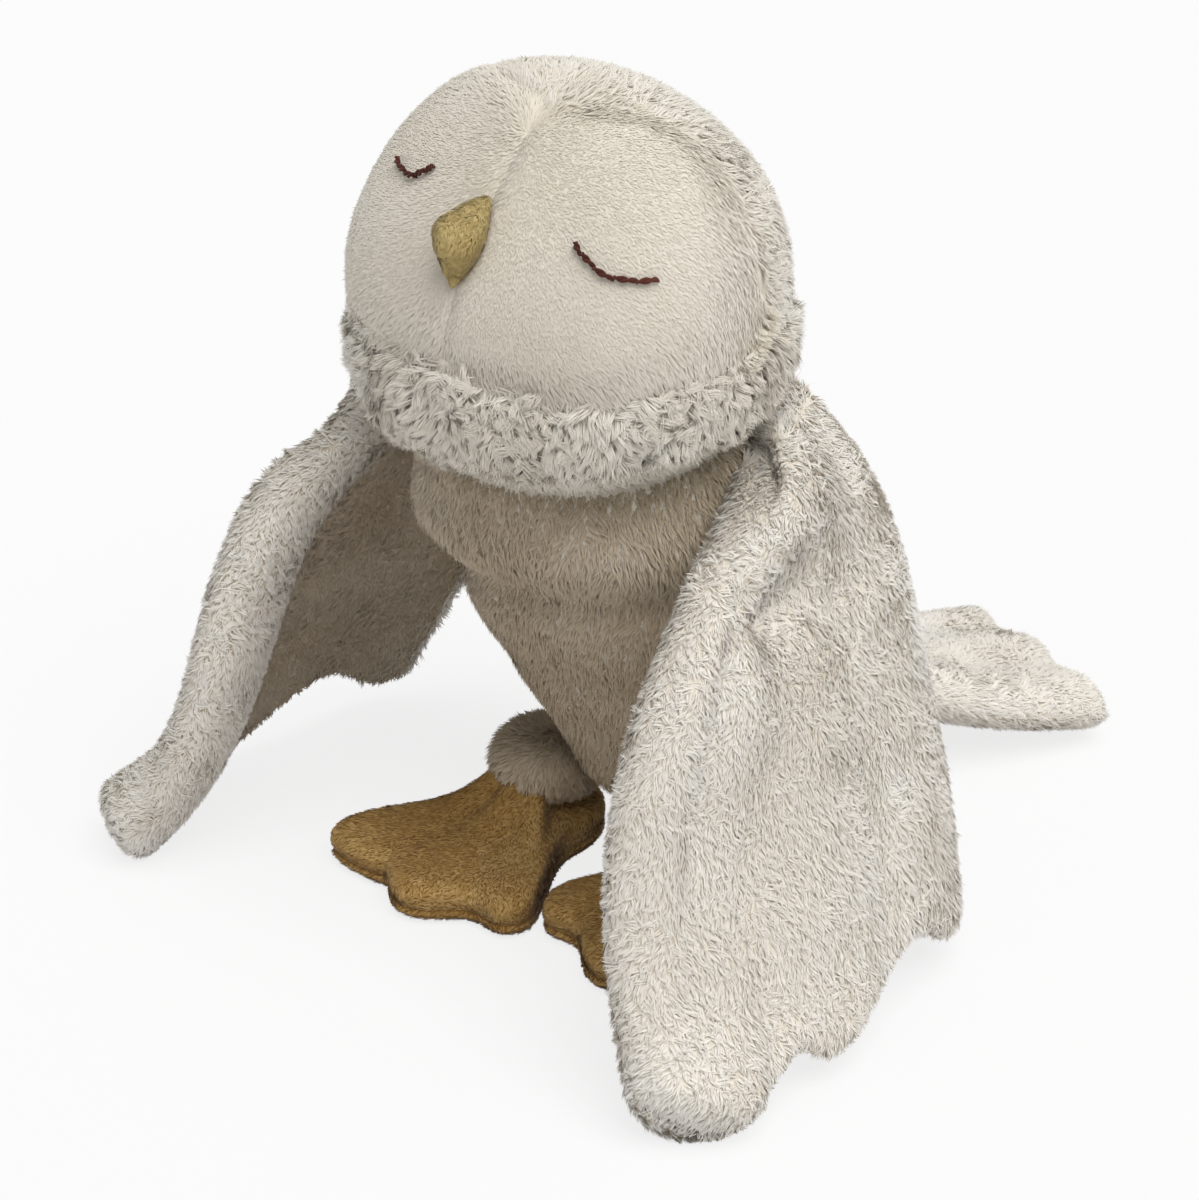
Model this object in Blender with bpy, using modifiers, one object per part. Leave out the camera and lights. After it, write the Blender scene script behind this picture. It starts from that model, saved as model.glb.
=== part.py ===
"""A stuffed owl leaning on its spread wings, sewn from long-pile plush and short-pile velour.

Metres, +Z up. The owl looks along -Y, so its left side lies at +X. Every stuffed form is a coarse cage
under Subdivision Surface. A skin is a wall of that form, a filling is the same form drawn in by the skin.
"""

import math

import bmesh
import bpy
from mathutils import Matrix, Vector

# Fabrics, pile included, and the clearances between pieces
PLUSH = 0.0040
VELOUR = 0.0024
SEAM_GAP = 0.0004
NECK_GAP = 0.0009
ANKLE_GAP = 0.0006
OVERRUN = 0.030
FLOOR_REACH = 0.400
SAME_PLACE = 0.00001

# Head: places are measured from the middle of its widest level
HEAD_HALF_WIDTH = 0.066
HEAD_RISE = 0.064
HEAD_DEPTH = 0.066
HEAD_HEIGHT = 0.203
NECK_Y = 0.014
SIDES = 12

# Body
BODY_HALF_WIDTH = 0.062
BODY_DEPTH = 0.122
BODY_HEIGHT = 0.172
BODY_AXIS_Y = 0.026
HIP_SHIFT = 0.015
BELLY_SEAM_Y = 0.040
BELLY_SEAM_TILT = math.radians(-6)

# Face: it looks up, a little to the owl's left, and its top leans that way
FACE_PITCH = math.radians(42)
FACE_TURN = math.radians(6)
FACE_LEAN = math.radians(6)
FACE_SUNK = 0.0014

# Beak and eyes, placed across and up the face from the head's middle
BEAK_TOP = 0.0010
BEAK_LENGTH = 0.029
BEAK_HALF_WIDTH = 0.0085
BEAK_REACH = 0.0115
LEFT_EYE_ACROSS = 0.0425
LEFT_EYE_UP = 0.0020
LEFT_EYE_RADIUS = 0.0115
RIGHT_EYE_ACROSS = -0.0325
RIGHT_EYE_UP = 0.0070
RIGHT_EYE_RADIUS = 0.0095
EYE_SPAN = math.radians(125)
EYE_POINTS = 9
THREAD_RADIUS = 0.0010

# Ruff
RUFF_HALF_HEIGHT = 0.0190
RUFF_HALF_DEPTH = 0.0115
RUFF_FRONT_Z = 0.176
RUFF_END_RISE = 0.007
RUFF_SPAN = math.radians(125)
RUFF_SIDE_SHARE = 0.97
RUFF_AHEAD_SHARE = 0.80
RUFF_BEHIND_SHARE = 0.98
RUFF_TAPER_SHARE = 0.86
RUFF_TAPER_POWER = 0.6
RUFF_RINGS = 11
RUFF_SIDES = 8

# Wings, measured from the wing tip, which touches the floor in front
WING_TIP_X = 0.110
WING_TIP_Y = -0.072
WING_DEPTH = 0.130
WING_HEIGHT = 0.155
WING_CAMBER = 0.020
WING_ROLL = 0.0120
WING_FILL_SHARE = 0.58
ROLL_SIDES = 6
ROOM_GROWTH = 1.9
WING_SLOPE_STEP_SHARE = 0.10
ROLL_SLOPE_STEP_SHARE = 0.05
WING_ROLL_STATION_SHARES = (0.18, 0.34, 0.50, 0.67, 0.83, 0.94)

# Feet and legs
ANKLE_SPREAD = 0.0357
ANKLE_Y = 0.027
LEFT_STEP_BACK = 0.010
ANKLE_HEIGHT = 0.030
CUFF_RADIUS = 0.0150
CUFF_HALF_WIDTH = 0.0170
CUFF_RINGS = 8
CUFF_SIDES = 16
TOE_REACH = 0.070
SOLE_THICKNESS = 0.0022
TOE_THICKNESS = 0.0110

# Tail
TAIL_ROOT_X = 0.008
TAIL_ROOT_Y = 0.095
TAIL_LENGTH = 0.122
TAIL_HALF_WIDTH = 0.051
TAIL_ROOT_HEIGHT = 0.050
TAIL_HALF_THICKNESS = 0.020
TAIL_TURN = math.radians(-18.7)
TAIL_FILL_WIDTH_SHARE = 0.78
TAIL_FILL_THICK_SHARE = 0.62
TAIL_FILL_SIDES = 8
TAIL_ROOM_GROWTH = 2.6
TAIL_FILL_STATION_SHARES = (-0.12, 0.16, 0.42, 0.66, 0.84)

# The floor point below the middle of the whole toy, seen from the body's own frame
TOY_MIDDLE_Y = 0.0704

# Hinges
WING_HINGE_X = 0.0505
WING_HINGE_Y = 0.036
WING_HINGE_HEIGHT = 0.1635
TAIL_HINGE_BACK = -0.003
TAIL_HINGE_RISE = 0.0220
WING_HINGE_TOE_IN = math.radians(8)
WING_ROOT_OVERLAP = 0.001

# Colours, 0 to 255, and roughness
CREAM_PLUSH = (214, 208, 197)
CREAM_VELOUR = (219, 211, 199)
OCHRE_VELOUR = (150, 118, 72)
EYE_THREAD = (96, 52, 40)
WADDING = (236, 236, 232)
CLOTH_ROUGHNESS = 0.95
THREAD_ROUGHNESS = 0.70


def linear(red, green, blue):
    """A screen colour, 0 to 255, as the linear values that a shader takes."""
    return [((c / 255 + 0.055) / 1.055) ** 2.4 for c in (red, green, blue)] + [1]


def material(name, colour, roughness=CLOTH_ROUGHNESS):
    made = bpy.data.materials.new(name)
    made.use_nodes = True
    made.diffuse_color = linear(*colour)
    shader = made.node_tree.nodes["Principled BSDF"]
    shader.inputs["Base Color"].default_value = linear(*colour)
    shader.inputs["Roughness"].default_value = roughness
    shader.inputs["Metallic"].default_value = 0
    return made


for old in list(bpy.data.objects):
    bpy.data.objects.remove(old)

scene = bpy.context.scene
parts = bpy.data.collections.new("plush_owl")
cutters = bpy.data.collections.new("cutters")
cutters.hide_render = True
scene.collection.children.link(parts)
scene.collection.children.link(cutters)

toy = bpy.data.objects.new("toy_middle", None)
toy.location = (0, -TOY_MIDDLE_Y, 0)
parts.objects.link(toy)


def joint_empty(name, place):
    """An empty on a joint's axis, which carries that body's pieces."""
    empty = bpy.data.objects.new(name, None)
    empty.location = place
    empty.parent = toy
    parts.objects.link(empty)
    return empty


WING_HINGE = Vector((WING_HINGE_X, WING_HINGE_Y, WING_HINGE_HEIGHT))
WING_HINGE_AXIS = Vector((-math.sin(WING_HINGE_TOE_IN), math.cos(WING_HINGE_TOE_IN), 0))
TAIL_ROOT = Vector((TAIL_ROOT_X, TAIL_ROOT_Y, TAIL_ROOT_HEIGHT))
TAIL_HINGE = TAIL_ROOT + Vector((0, TAIL_HINGE_BACK, TAIL_HINGE_RISE))
NECK = Vector((0, BODY_AXIS_Y, BODY_HEIGHT))

neck_pivot = joint_empty("neck_pivot", NECK)
tail_pivot = joint_empty("tail_pivot", TAIL_HINGE)


def side_word(side):
    return "left" if side > 0 else "right"


def mirrored(point, side):
    return Vector((side * point[0], point[1], point[2]))


def place_object(name, mesh, colour, carrier):
    """A piece whose mesh is in the toy's own frame, with its origin moved onto what carries it."""
    piece = bpy.data.objects.new(name, mesh)
    offset = carrier.location if carrier is not toy else Vector((0, 0, 0))
    mesh.transform(Matrix.Translation(-offset))
    piece.parent = carrier
    piece.data.materials.append(material(name + "_cloth", colour))
    parts.objects.link(piece)
    piece.data.shade_smooth()
    return piece


def place_cutter(name, mesh):
    cutter = bpy.data.objects.new(name, mesh)
    cutter.parent = toy
    cutter.display_type = "WIRE"
    cutter.hide_render = True
    cutters.objects.link(cutter)
    return cutter


def cage_mesh(name, rings, start, end, grow=0):
    """A closed cage, grown along its normals: quads between rings and a fan to a pole at each end."""
    cage = bmesh.new()
    loops = [[cage.verts.new(point) for point in ring] for ring in rings]
    for lower, upper in zip(loops, loops[1:]):
        for i in range(len(lower)):
            cage.faces.new((lower[i - 1], lower[i], upper[i], upper[i - 1]))
    for pole, loop in ((start, loops[0]), (end, loops[-1])):
        tip = cage.verts.new(pole)
        for i in range(len(loop)):
            cage.faces.new((loop[i - 1], loop[i], tip))
    bmesh.ops.recalc_face_normals(cage, faces=cage.faces)
    cage.normal_update()
    moves = [vert.normal * grow for vert in cage.verts]
    for vert, move in zip(cage.verts, moves):
        vert.co += move
    mesh = bpy.data.meshes.new(name)
    cage.to_mesh(mesh)
    cage.free()
    return mesh


def fullness(sides):
    """How much wider a ring's cage must be than the smooth ring that Subdivision Surface makes of it."""
    return 3 / (2 + math.cos(2 * math.pi / sides))


def full_side(value, power):
    """A sine or cosine drawn out towards 1, which makes an ellipse squarer the smaller the power is."""
    return math.copysign(abs(value) ** power, value)


def upright_ring(x, y, z, half_width, front, back, cheek=1):
    """A level ring round (x, y): half an ellipse in front, fuller for a smaller cheek, and half behind."""
    full = fullness(SIDES)
    points = []
    for i in range(SIDES):
        angle = 2 * math.pi * i / SIDES
        ahead = math.cos(angle) > 0
        depth = front if ahead else back
        power = cheek if ahead else 1
        across = full * half_width * full_side(math.sin(angle), power)
        along = full * depth * full_side(math.cos(angle), power)
        points.append(Vector((x + across, y - along, z)))
    return points


def smooth(piece, levels=1):
    rounding = piece.modifiers.new("Rounding", "SUBSURF")
    rounding.levels = levels
    rounding.render_levels = levels


def cut(piece, cutter, operation="DIFFERENCE"):
    bite = piece.modifiers.new("Cut", "BOOLEAN")
    bite.operation = operation
    bite.solver = "EXACT"
    bite.object = cutter


# Height, half width, front depth, back depth and cheek power, as shares of the head's own sizes
HEAD_RING_SHARES = (
    (-0.90, 0.62, 0.58, 0.62, 0.95),
    (-0.62, 0.86, 0.78, 0.86, 0.86),
    (-0.28, 1.00, 0.87, 0.98, 0.80),
    (0.06, 1.02, 0.83, 1.00, 0.78),
    (0.38, 0.96, 0.68, 0.88, 0.80),
    (0.66, 0.79, 0.44, 0.66, 0.84),
    (0.89, 0.48, 0.26, 0.36, 0.90),
)
HEAD_BOTTOM_SHARE = -1.05
HEAD_TOP_SHARE = 1.00


def head_mesh(name, grow=0):
    rings = []
    for height, width, front, back, cheek in HEAD_RING_SHARES:
        level = HEAD_HEIGHT + height * HEAD_RISE
        half_width = width * HEAD_HALF_WIDTH
        rings.append(
            upright_ring(0, NECK_Y, level, half_width, front * HEAD_DEPTH, back * HEAD_DEPTH, cheek)
        )
    bottom = Vector((0, NECK_Y, HEAD_HEIGHT + HEAD_BOTTOM_SHARE * HEAD_RISE))
    top = Vector((0, NECK_Y, HEAD_HEIGHT + HEAD_TOP_SHARE * HEAD_RISE))
    return cage_mesh(name, rings, bottom, top, grow)


# Height, half width, front and back reach from the body's axis, share of the hips' shift, cheek power
BODY_RING_SHARES = (
    (0.16, 0.42, 0.10, 0.44, 1.00, 0.90),
    (0.25, 0.64, 0.10, 0.57, 1.00, 0.86),
    (0.38, 0.88, 0.20, 0.65, 0.82, 0.84),
    (0.52, 1.02, 0.29, 0.68, 0.60, 0.84),
    (0.66, 1.04, 0.35, 0.67, 0.36, 0.86),
    (0.78, 1.00, 0.39, 0.61, 0.14, 0.90),
    (0.855, 0.945, 0.480, 0.480, 0.00, 1.00),
    (0.885, 0.915, 0.465, 0.465, 0.00, 1.00),
    (0.955, 0.768, 0.390, 0.390, 0.00, 1.00),
)
BODY_BOTTOM_SHARE = 0.10
BODY_TOP_SHARE = 1.02


def body_mesh(name, grow=0):
    rings = []
    for height, width, front, back, shift, cheek in BODY_RING_SHARES:
        middle = (back - front) / 2
        rings.append(
            upright_ring(
                shift * HIP_SHIFT,
                BODY_AXIS_Y + middle * BODY_DEPTH,
                height * BODY_HEIGHT,
                width * BODY_HALF_WIDTH,
                (front + middle) * BODY_DEPTH,
                (back - middle) * BODY_DEPTH,
                cheek,
            )
        )
    first, last = BODY_RING_SHARES[0], BODY_RING_SHARES[-1]
    bottom_y = BODY_AXIS_Y + (first[3] - first[2]) / 2 * BODY_DEPTH
    top_y = BODY_AXIS_Y + (last[3] - last[2]) / 2 * BODY_DEPTH
    bottom = Vector((HIP_SHIFT, bottom_y, BODY_BOTTOM_SHARE * BODY_HEIGHT))
    top = Vector((0, top_y, BODY_TOP_SHARE * BODY_HEIGHT))
    return cage_mesh(name, rings, bottom, top, grow)


def slab(name, low, high, turn=0, place=(0, 0, 0)):
    """A box cutter from corner to corner, turned about X at a place."""
    box = bmesh.new()
    bmesh.ops.create_cube(box, size=1)
    size = Vector(high) - Vector(low)
    middle = (Vector(high) + Vector(low)) / 2
    grown = Matrix.Diagonal((*size, 1))
    turned = Matrix.Translation(Vector(place)) @ Matrix.Rotation(turn, 4, "X")
    bmesh.ops.transform(box, matrix=turned @ Matrix.Translation(middle) @ grown, verts=box.verts)
    mesh = bpy.data.meshes.new(name)
    box.to_mesh(mesh)
    box.free()
    return place_cutter(name, mesh)


# Across the face, as shares of the head: place, then rise and depth of its upper edge and of its lower edge
FACE_STATION_SHARES = (
    (0.00, 0.455, 0.765, -0.690, 0.535),
    (0.27, 0.515, 0.732, -0.682, 0.515),
    (0.47, 0.597, 0.605, -0.656, 0.490),
    (0.62, 0.588, 0.488, -0.606, 0.455),
    (0.77, 0.500, 0.383, -0.515, 0.403),
    (0.90, 0.347, 0.305, -0.386, 0.312),
    (0.97, 0.167, 0.236, -0.233, 0.229),
    (1.045, 0.010, 0.175, -0.050, 0.175),
)
FACE_OPENING_BITE_SHARE = 0.10
FACE_BITE_SHARE = 0.078
FACE_OUT_SHARE = 0.60


def face_frame():
    """The head's middle with the face's axes: sideways, up the face and out of it."""
    middle = Vector((0, NECK_Y, HEAD_HEIGHT))
    turn = Matrix.Rotation(FACE_TURN, 3, "Z") @ Matrix.Rotation(-FACE_PITCH, 3, "X")
    out = turn @ Vector((0, -1, 0))
    lean = Matrix.Rotation(-FACE_LEAN, 3, out)
    side = lean @ turn @ Vector((1, 0, 0))
    return middle, side, out.cross(side), out


def face_plug(name, inset, bite, half=0):
    """What the face's edge frames, with one section at each station. half keeps one side of the seam."""
    middle, side, up, out = face_frame()
    plug = bmesh.new()
    sides = (half,) if half else (1, -1)
    seam = SEAM_GAP / 2 if half else 0
    runs = []
    for facing in sides:
        sections = []
        for across, top, top_depth, low, low_depth in FACE_STATION_SHARES:
            section = []
            for rise, depth, reach in (
                (top, top_depth, FACE_OUT_SHARE),
                (top, top_depth, -bite),
                (low, low_depth, -bite),
                (low, low_depth, FACE_OUT_SHARE),
            ):
                flat = Vector((across, rise)) * HEAD_HALF_WIDTH
                flat -= flat.normalized() * inset
                sideways = facing * max(flat.x, seam)
                forward = (depth + reach) * HEAD_HALF_WIDTH
                section.append(middle + side * sideways + up * flat.y + out * forward)
            sections.append(section)
        runs.append([[plug.verts.new(place) for place in section] for section in sections])
    for run in runs:
        for near, far in zip(run, run[1:]):
            for i in range(len(near)):
                plug.faces.new((near[i - 1], near[i], far[i]))
                plug.faces.new((near[i - 1], far[i], far[i - 1]))
        plug.faces.new(run[-1])
        if half:
            plug.faces.new(run[0])
    bmesh.ops.remove_doubles(plug, verts=plug.verts, dist=SAME_PLACE)
    bmesh.ops.recalc_face_normals(plug, faces=plug.faces)
    mesh = bpy.data.meshes.new(name)
    plug.to_mesh(mesh)
    plug.free()
    return place_cutter(name, mesh)


below = (-FLOOR_REACH, -FLOOR_REACH, -OVERRUN)
floor_cutter = slab("floor_cutter", below, (FLOOR_REACH, FLOOR_REACH, 0))

# Body
body_grown = place_cutter("body_grown", body_mesh("body_grown", SEAM_GAP * fullness(SIDES)))
smooth(body_grown)
neck_clear_mesh = body_mesh("body_neck_clear", NECK_GAP * fullness(SIDES))
body_neck_clear = place_cutter("body_neck_clear", neck_clear_mesh)
smooth(body_neck_clear)

body_filling = place_object(
    "body_filling", body_mesh("body_filling", -(PLUSH + SEAM_GAP) * fullness(SIDES)), WADDING, toy
)
smooth(body_filling)


def belly_side(name, gap):
    """Everything in front of the side seams, whose plane leans with the belly."""
    reach = BODY_HEIGHT * 2
    seam = (0, BELLY_SEAM_Y, BODY_HEIGHT / 2)
    return slab(name, (-reach, -reach, -reach), (reach, -gap, reach), BELLY_SEAM_TILT, seam)


body_room = place_cutter("body_room", body_mesh("body_room", -PLUSH * fullness(SIDES)))
smooth(body_room)
belly_front = belly_side("belly_front", SEAM_GAP)
belly_front_grown = belly_side("belly_front_grown", 0)
back_panel = place_object("back_panel", body_mesh("back_panel"), CREAM_PLUSH, toy)
smooth(back_panel)
cut(back_panel, body_room)
cut(back_panel, belly_front_grown)
belly_panel = place_object("belly_panel", body_mesh("belly_panel"), CREAM_VELOUR, toy)
smooth(belly_panel)
cut(belly_panel, body_room)
cut(belly_panel, belly_front, "INTERSECT")

# Head
head_grown = place_cutter("head_grown", head_mesh("head_grown", SEAM_GAP * fullness(SIDES)))
smooth(head_grown)
head_filling = place_object(
    "head_filling", head_mesh("head_filling", -(PLUSH + SEAM_GAP) * fullness(SIDES)), WADDING, neck_pivot
)
smooth(head_filling)
cut(head_filling, body_neck_clear)

head_room = place_cutter("head_room", head_mesh("head_room", -PLUSH * fullness(SIDES)))
smooth(head_room)
hood = place_object("hood", head_mesh("hood"), CREAM_PLUSH, neck_pivot)
smooth(hood)
cut(hood, head_room)
cut(hood, face_plug("face_opening", 0, FACE_OPENING_BITE_SHARE))
cut(hood, body_neck_clear)

for side in (1, -1):
    name = "face_" + side_word(side)
    face = place_object(name, head_mesh(name, -FACE_SUNK), CREAM_VELOUR, neck_pivot)
    smooth(face)
    cut(face, head_room)
    cut(face, face_plug(name + "_plug", SEAM_GAP, FACE_BITE_SHARE, side), "INTERSECT")

face_form = place_cutter("face_form", head_mesh("face_form", -FACE_SUNK))
smooth(face_form)
beak_seat = place_cutter("beak_seat", head_mesh("beak_seat", SEAM_GAP * fullness(SIDES) - FACE_SUNK))
smooth(beak_seat)


def on_face(across, rise, lift):
    """The point over (across, rise) of the face's plane, lifted off the face."""
    middle, side, up, out = face_frame()
    start = middle + side * across + up * rise + out * (HEAD_DEPTH + OVERRUN)
    graph = bpy.context.evaluated_depsgraph_get()
    shape = face_form.evaluated_get(graph)
    hit, place, normal, _ = shape.ray_cast(start, -out)
    return place + normal * lift


def thread_eye(name, eye_across, eye_up, radius):
    """One closed eye: a run of thread along an arc that hangs like a smile on the face."""
    curve = bpy.data.curves.new(name, "CURVE")
    curve.dimensions = "3D"
    curve.bevel_depth = THREAD_RADIUS
    curve.bevel_resolution = 1
    curve.use_fill_caps = True
    line = curve.splines.new("POLY")
    line.points.add(EYE_POINTS - 1)
    for i, point in enumerate(line.points):
        angle = EYE_SPAN * (i / (EYE_POINTS - 1) - 1 / 2)
        across = eye_across + radius * math.sin(angle)
        rise = eye_up - radius * math.cos(angle)
        point.co = (*(on_face(across, rise, THREAD_RADIUS + SEAM_GAP) - NECK), 1)
    eye = bpy.data.objects.new(name, curve)
    eye.parent = neck_pivot
    curve.materials.append(material(name + "_thread", EYE_THREAD, THREAD_ROUGHNESS))
    parts.objects.link(eye)


thread_eye("eye_left", LEFT_EYE_ACROSS, LEFT_EYE_UP, LEFT_EYE_RADIUS)
thread_eye("eye_right", RIGHT_EYE_ACROSS, RIGHT_EYE_UP, RIGHT_EYE_RADIUS)


# Down the beak from its top: place along it, half width, reach
BEAK_RING_SHARES = ((0.14, 0.55, 0.40), (0.38, 1.0, 0.85), (0.60, 0.95, 1.0), (0.84, 0.45, 0.50))
BEAK_SIDES = 8


def beak_mesh(name):
    """A small velour bag down the seam: rings across it, fullest in the middle, pointed below."""
    middle, side, up, out = face_frame()
    rings = []
    for along, width, reach in BEAK_RING_SHARES:
        seat = on_face(0, BEAK_TOP - along * BEAK_LENGTH, 0)
        ring = []
        for i in range(BEAK_SIDES):
            angle = 2 * math.pi * i / BEAK_SIDES
            forward = reach * BEAK_REACH * (1 + 2 * math.cos(angle)) / 3
            ring.append(seat + side * (width * BEAK_HALF_WIDTH * math.sin(angle)) + out * forward)
        rings.append(ring)
    return cage_mesh(name, rings, on_face(0, BEAK_TOP, 0), on_face(0, BEAK_TOP - BEAK_LENGTH, 0))


beak = place_object("beak", beak_mesh("beak"), OCHRE_VELOUR, neck_pivot)
smooth(beak)
cut(beak, beak_seat)


def ruff_mesh(name):
    """A roll along the lower face from ear to ear: its section thins towards both ends."""
    rings = []
    for i in range(RUFF_RINGS):
        turn = RUFF_SPAN * (2 * i / (RUFF_RINGS - 1) - 1)
        taper = math.cos(turn / RUFF_SPAN * math.pi / 2 * RUFF_TAPER_SHARE) ** RUFF_TAPER_POWER
        depth = RUFF_AHEAD_SHARE if math.cos(turn) > 0 else RUFF_BEHIND_SHARE
        outward = Vector((math.sin(turn), -math.cos(turn), 0))
        middle = Vector(
            (
                RUFF_SIDE_SHARE * HEAD_HALF_WIDTH * math.sin(turn),
                NECK_Y - depth * HEAD_DEPTH * math.cos(turn),
                RUFF_FRONT_Z + RUFF_END_RISE * (1 - math.cos(turn)),
            )
        )
        ring = []
        for k in range(RUFF_SIDES):
            angle = 2 * math.pi * k / RUFF_SIDES
            ring.append(
                middle
                + outward * (taper * RUFF_HALF_DEPTH * math.cos(angle))
                + Vector((0, 0, taper * RUFF_HALF_HEIGHT * math.sin(angle)))
            )
        rings.append(ring)
    first = sum(rings[0], Vector()) / len(rings[0])
    last = sum(rings[-1], Vector()) / len(rings[-1])
    return cage_mesh(name, rings, first, last)


ruff = place_object("ruff", ruff_mesh("ruff"), CREAM_PLUSH, neck_pivot)
smooth(ruff)
cut(ruff, head_grown)
cut(ruff, body_neck_clear)

# Down the wing, as shares of its sizes: middle of the front roll, rear edge, camber and thickness
WING_ROW_SHARES = (
    ((0.46, 0.74, 0.985), (0.36, 1.12, 1.02), 0.2, 0.82),
    ((0.62, 0.60, 0.945), (0.51, 1.17, 0.91), 0.5, 1.12),
    ((0.755, 0.33, 0.80), (0.60, 1.25, 0.71), 0.8, 1.28),
    ((0.73, 0.185, 0.51), (0.76, 1.22, 0.48), 0.9, 1.12),
    ((0.815, 0.15, 0.25), (0.93, 1.14, 0.25), 1.0, 1.03),
    ((0.98, 0.085, 0.105), (1.03, 1.06, 0.08), 0.9, 1.22),
    ((1.10, 0.04, 0.050), (1.09, 1.02, -0.01), 0.7, 1.25),
)
# Across the wing from the roll's middle: place, reach down the wing, outer and inner thickness
WING_COLUMN_SHARES = (
    (-0.165, 0.98, 0.0, 0.0),
    (-0.115, 1.02, 0.85, 0.8),
    (0.03, 1.06, 1.15, 1.1),
    (0.15, 1.04, 0.66, 0.6),
    (0.26, 0.84, 0.26, 0.3),
    (0.42, 1.13, 0.46, 0.4),
    (0.69, 0.81, 0.32, 0.3),
    (0.88, 0.98, 0.44, 0.4),
    (1.02, 0.86, 0.0, 0.0),
)


def wing_guide(share):
    """Roll, rear edge, camber and thickness at a share of the way down the wing."""
    rows = len(WING_ROW_SHARES) - 1
    low = min(int(share * rows), rows - 1)
    part = share * rows - low
    upper, lower = WING_ROW_SHARES[low], WING_ROW_SHARES[low + 1]
    edges = []
    for k in range(2):
        x, y, z = Vector(upper[k]).lerp(Vector(lower[k]), part)
        edges.append(Vector((x * WING_TIP_X, WING_TIP_Y + y * WING_DEPTH, z * WING_HEIGHT)))
    camber = (upper[2] + (lower[2] - upper[2]) * part) * WING_CAMBER
    thickness = (upper[3] + (lower[3] - upper[3]) * part) * WING_ROLL
    return edges[0], edges[1], camber, thickness


def wing_point(down, across):
    """A point of the wing's middle surface, with the wing's outward direction and thickness there."""
    front, rear, camber, thickness = wing_guide(down)
    chord = rear - front
    above = wing_guide(max(down - WING_SLOPE_STEP_SHARE, 0))
    below = wing_guide(min(down + WING_SLOPE_STEP_SHARE, 1))
    fall = below[0].lerp(below[1], across) - above[0].lerp(above[1], across)
    outward = chord.cross(fall).normalized()
    if outward.x < 0:
        outward = -outward
    bulge = max(4 * across * (1 - across), 0)
    return front + chord * across + outward * (camber * bulge), outward, thickness


def wing_rings(outer, inner, lift):
    """Rings round a layer of the wing. outer and inner scale its two faces' shares of the thickness."""
    rings = []
    last = len(WING_ROW_SHARES) - 1
    for row in range(last + 1):
        out_side = []
        in_side = []
        for across, reach, out_share, in_share in WING_COLUMN_SHARES:
            place, outward, thickness = wing_point(row / last * reach, across)
            out_side.append(place + outward * (outer * out_share * thickness + lift))
            in_side.append(place - outward * (inner * in_share * thickness - lift))
        rings.append(out_side + in_side[-2:0:-1])
    return rings


def wing_layer_mesh(name, side, outer, inner, lift):
    rings = wing_rings(outer, inner, lift)
    rings = [[mirrored(point, side) for point in ring] for ring in rings]
    return sheet_cage(name, rings, len(WING_COLUMN_SHARES))


def sheet_cage(name, rings, count):
    """A closed flat cage of rings with two facing sides. Quads close its first and last rings."""
    cage = bmesh.new()
    loops = [[cage.verts.new(point) for point in ring] for ring in rings]
    size = len(loops[0])
    for lower, upper in zip(loops, loops[1:]):
        for i in range(size):
            cage.faces.new((lower[i - 1], lower[i], upper[i], upper[i - 1]))
    for loop in (loops[0], loops[-1]):
        cage.faces.new((loop[0], loop[1], loop[-1]))
        for i in range(1, count - 2):
            cage.faces.new((loop[i], loop[i + 1], loop[-i - 1], loop[-i]))
        cage.faces.new((loop[count - 2], loop[count - 1], loop[count]))
    bmesh.ops.recalc_face_normals(cage, faces=cage.faces)
    mesh = bpy.data.meshes.new(name)
    cage.to_mesh(mesh)
    cage.free()
    return mesh


def wing_roll_mesh(name, side, grow=0):
    """The stuffed roll behind the front edge: round sections down the wing."""
    rings = []
    for down in WING_ROLL_STATION_SHARES:
        place, outward, thickness = wing_point(down, WING_COLUMN_SHARES[2][0])
        before = wing_guide(down - ROLL_SLOPE_STEP_SHARE)[0]
        ahead = wing_guide(min(down + ROLL_SLOPE_STEP_SHARE, 1))[0] - before
        forward = ahead.cross(outward).normalized()
        radius = thickness * WING_FILL_SHARE
        ring = []
        for k in range(ROLL_SIDES):
            angle = 2 * math.pi * k / ROLL_SIDES
            point = place + outward * (radius * math.cos(angle)) + forward * (radius * math.sin(angle))
            ring.append(mirrored(point, side))
        rings.append(ring)
    first = sum(rings[0], Vector()) / len(rings[0])
    last = sum(rings[-1], Vector()) / len(rings[-1])
    return cage_mesh(name, rings, first, last, grow)


for side in (1, -1):
    word = "wing_" + side_word(side)
    pivot = joint_empty(word + "_pivot", mirrored(WING_HINGE, side))
    inside = side * (WING_HINGE_X - WING_ROOT_OVERLAP)
    far_inside = side * (WING_HINGE_X - OVERRUN)
    root_trim = slab(
        word + "_root_trim",
        (min(inside, far_inside), -WING_DEPTH, 0),
        (max(inside, far_inside), WING_DEPTH, HEAD_HEIGHT),
    )
    filling = place_object(word + "_filling", wing_roll_mesh(word + "_filling", side), WADDING, pivot)
    smooth(filling)
    cut(filling, body_grown)
    room_mesh = wing_roll_mesh(word + "_roll_room", side, SEAM_GAP * ROOM_GROWTH)
    roll_room = place_cutter(word + "_roll_room", room_mesh)
    smooth(roll_room)
    for layer, outer, inner, colour in (("_outer", 1, 0, CREAM_PLUSH), ("_lining", 0, 1, CREAM_VELOUR)):
        lift = (outer - inner) * SEAM_GAP
        layer_mesh = wing_layer_mesh(word + layer, side, outer, inner, lift)
        skin = place_object(word + layer, layer_mesh, colour, pivot)
        smooth(skin)
        cut(skin, roll_room)
        cut(skin, body_grown)
        cut(skin, root_trim)
        cut(skin, floor_cutter)

# Leg cuffs, round about the ankle's axis so that the foot can turn under them


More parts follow.
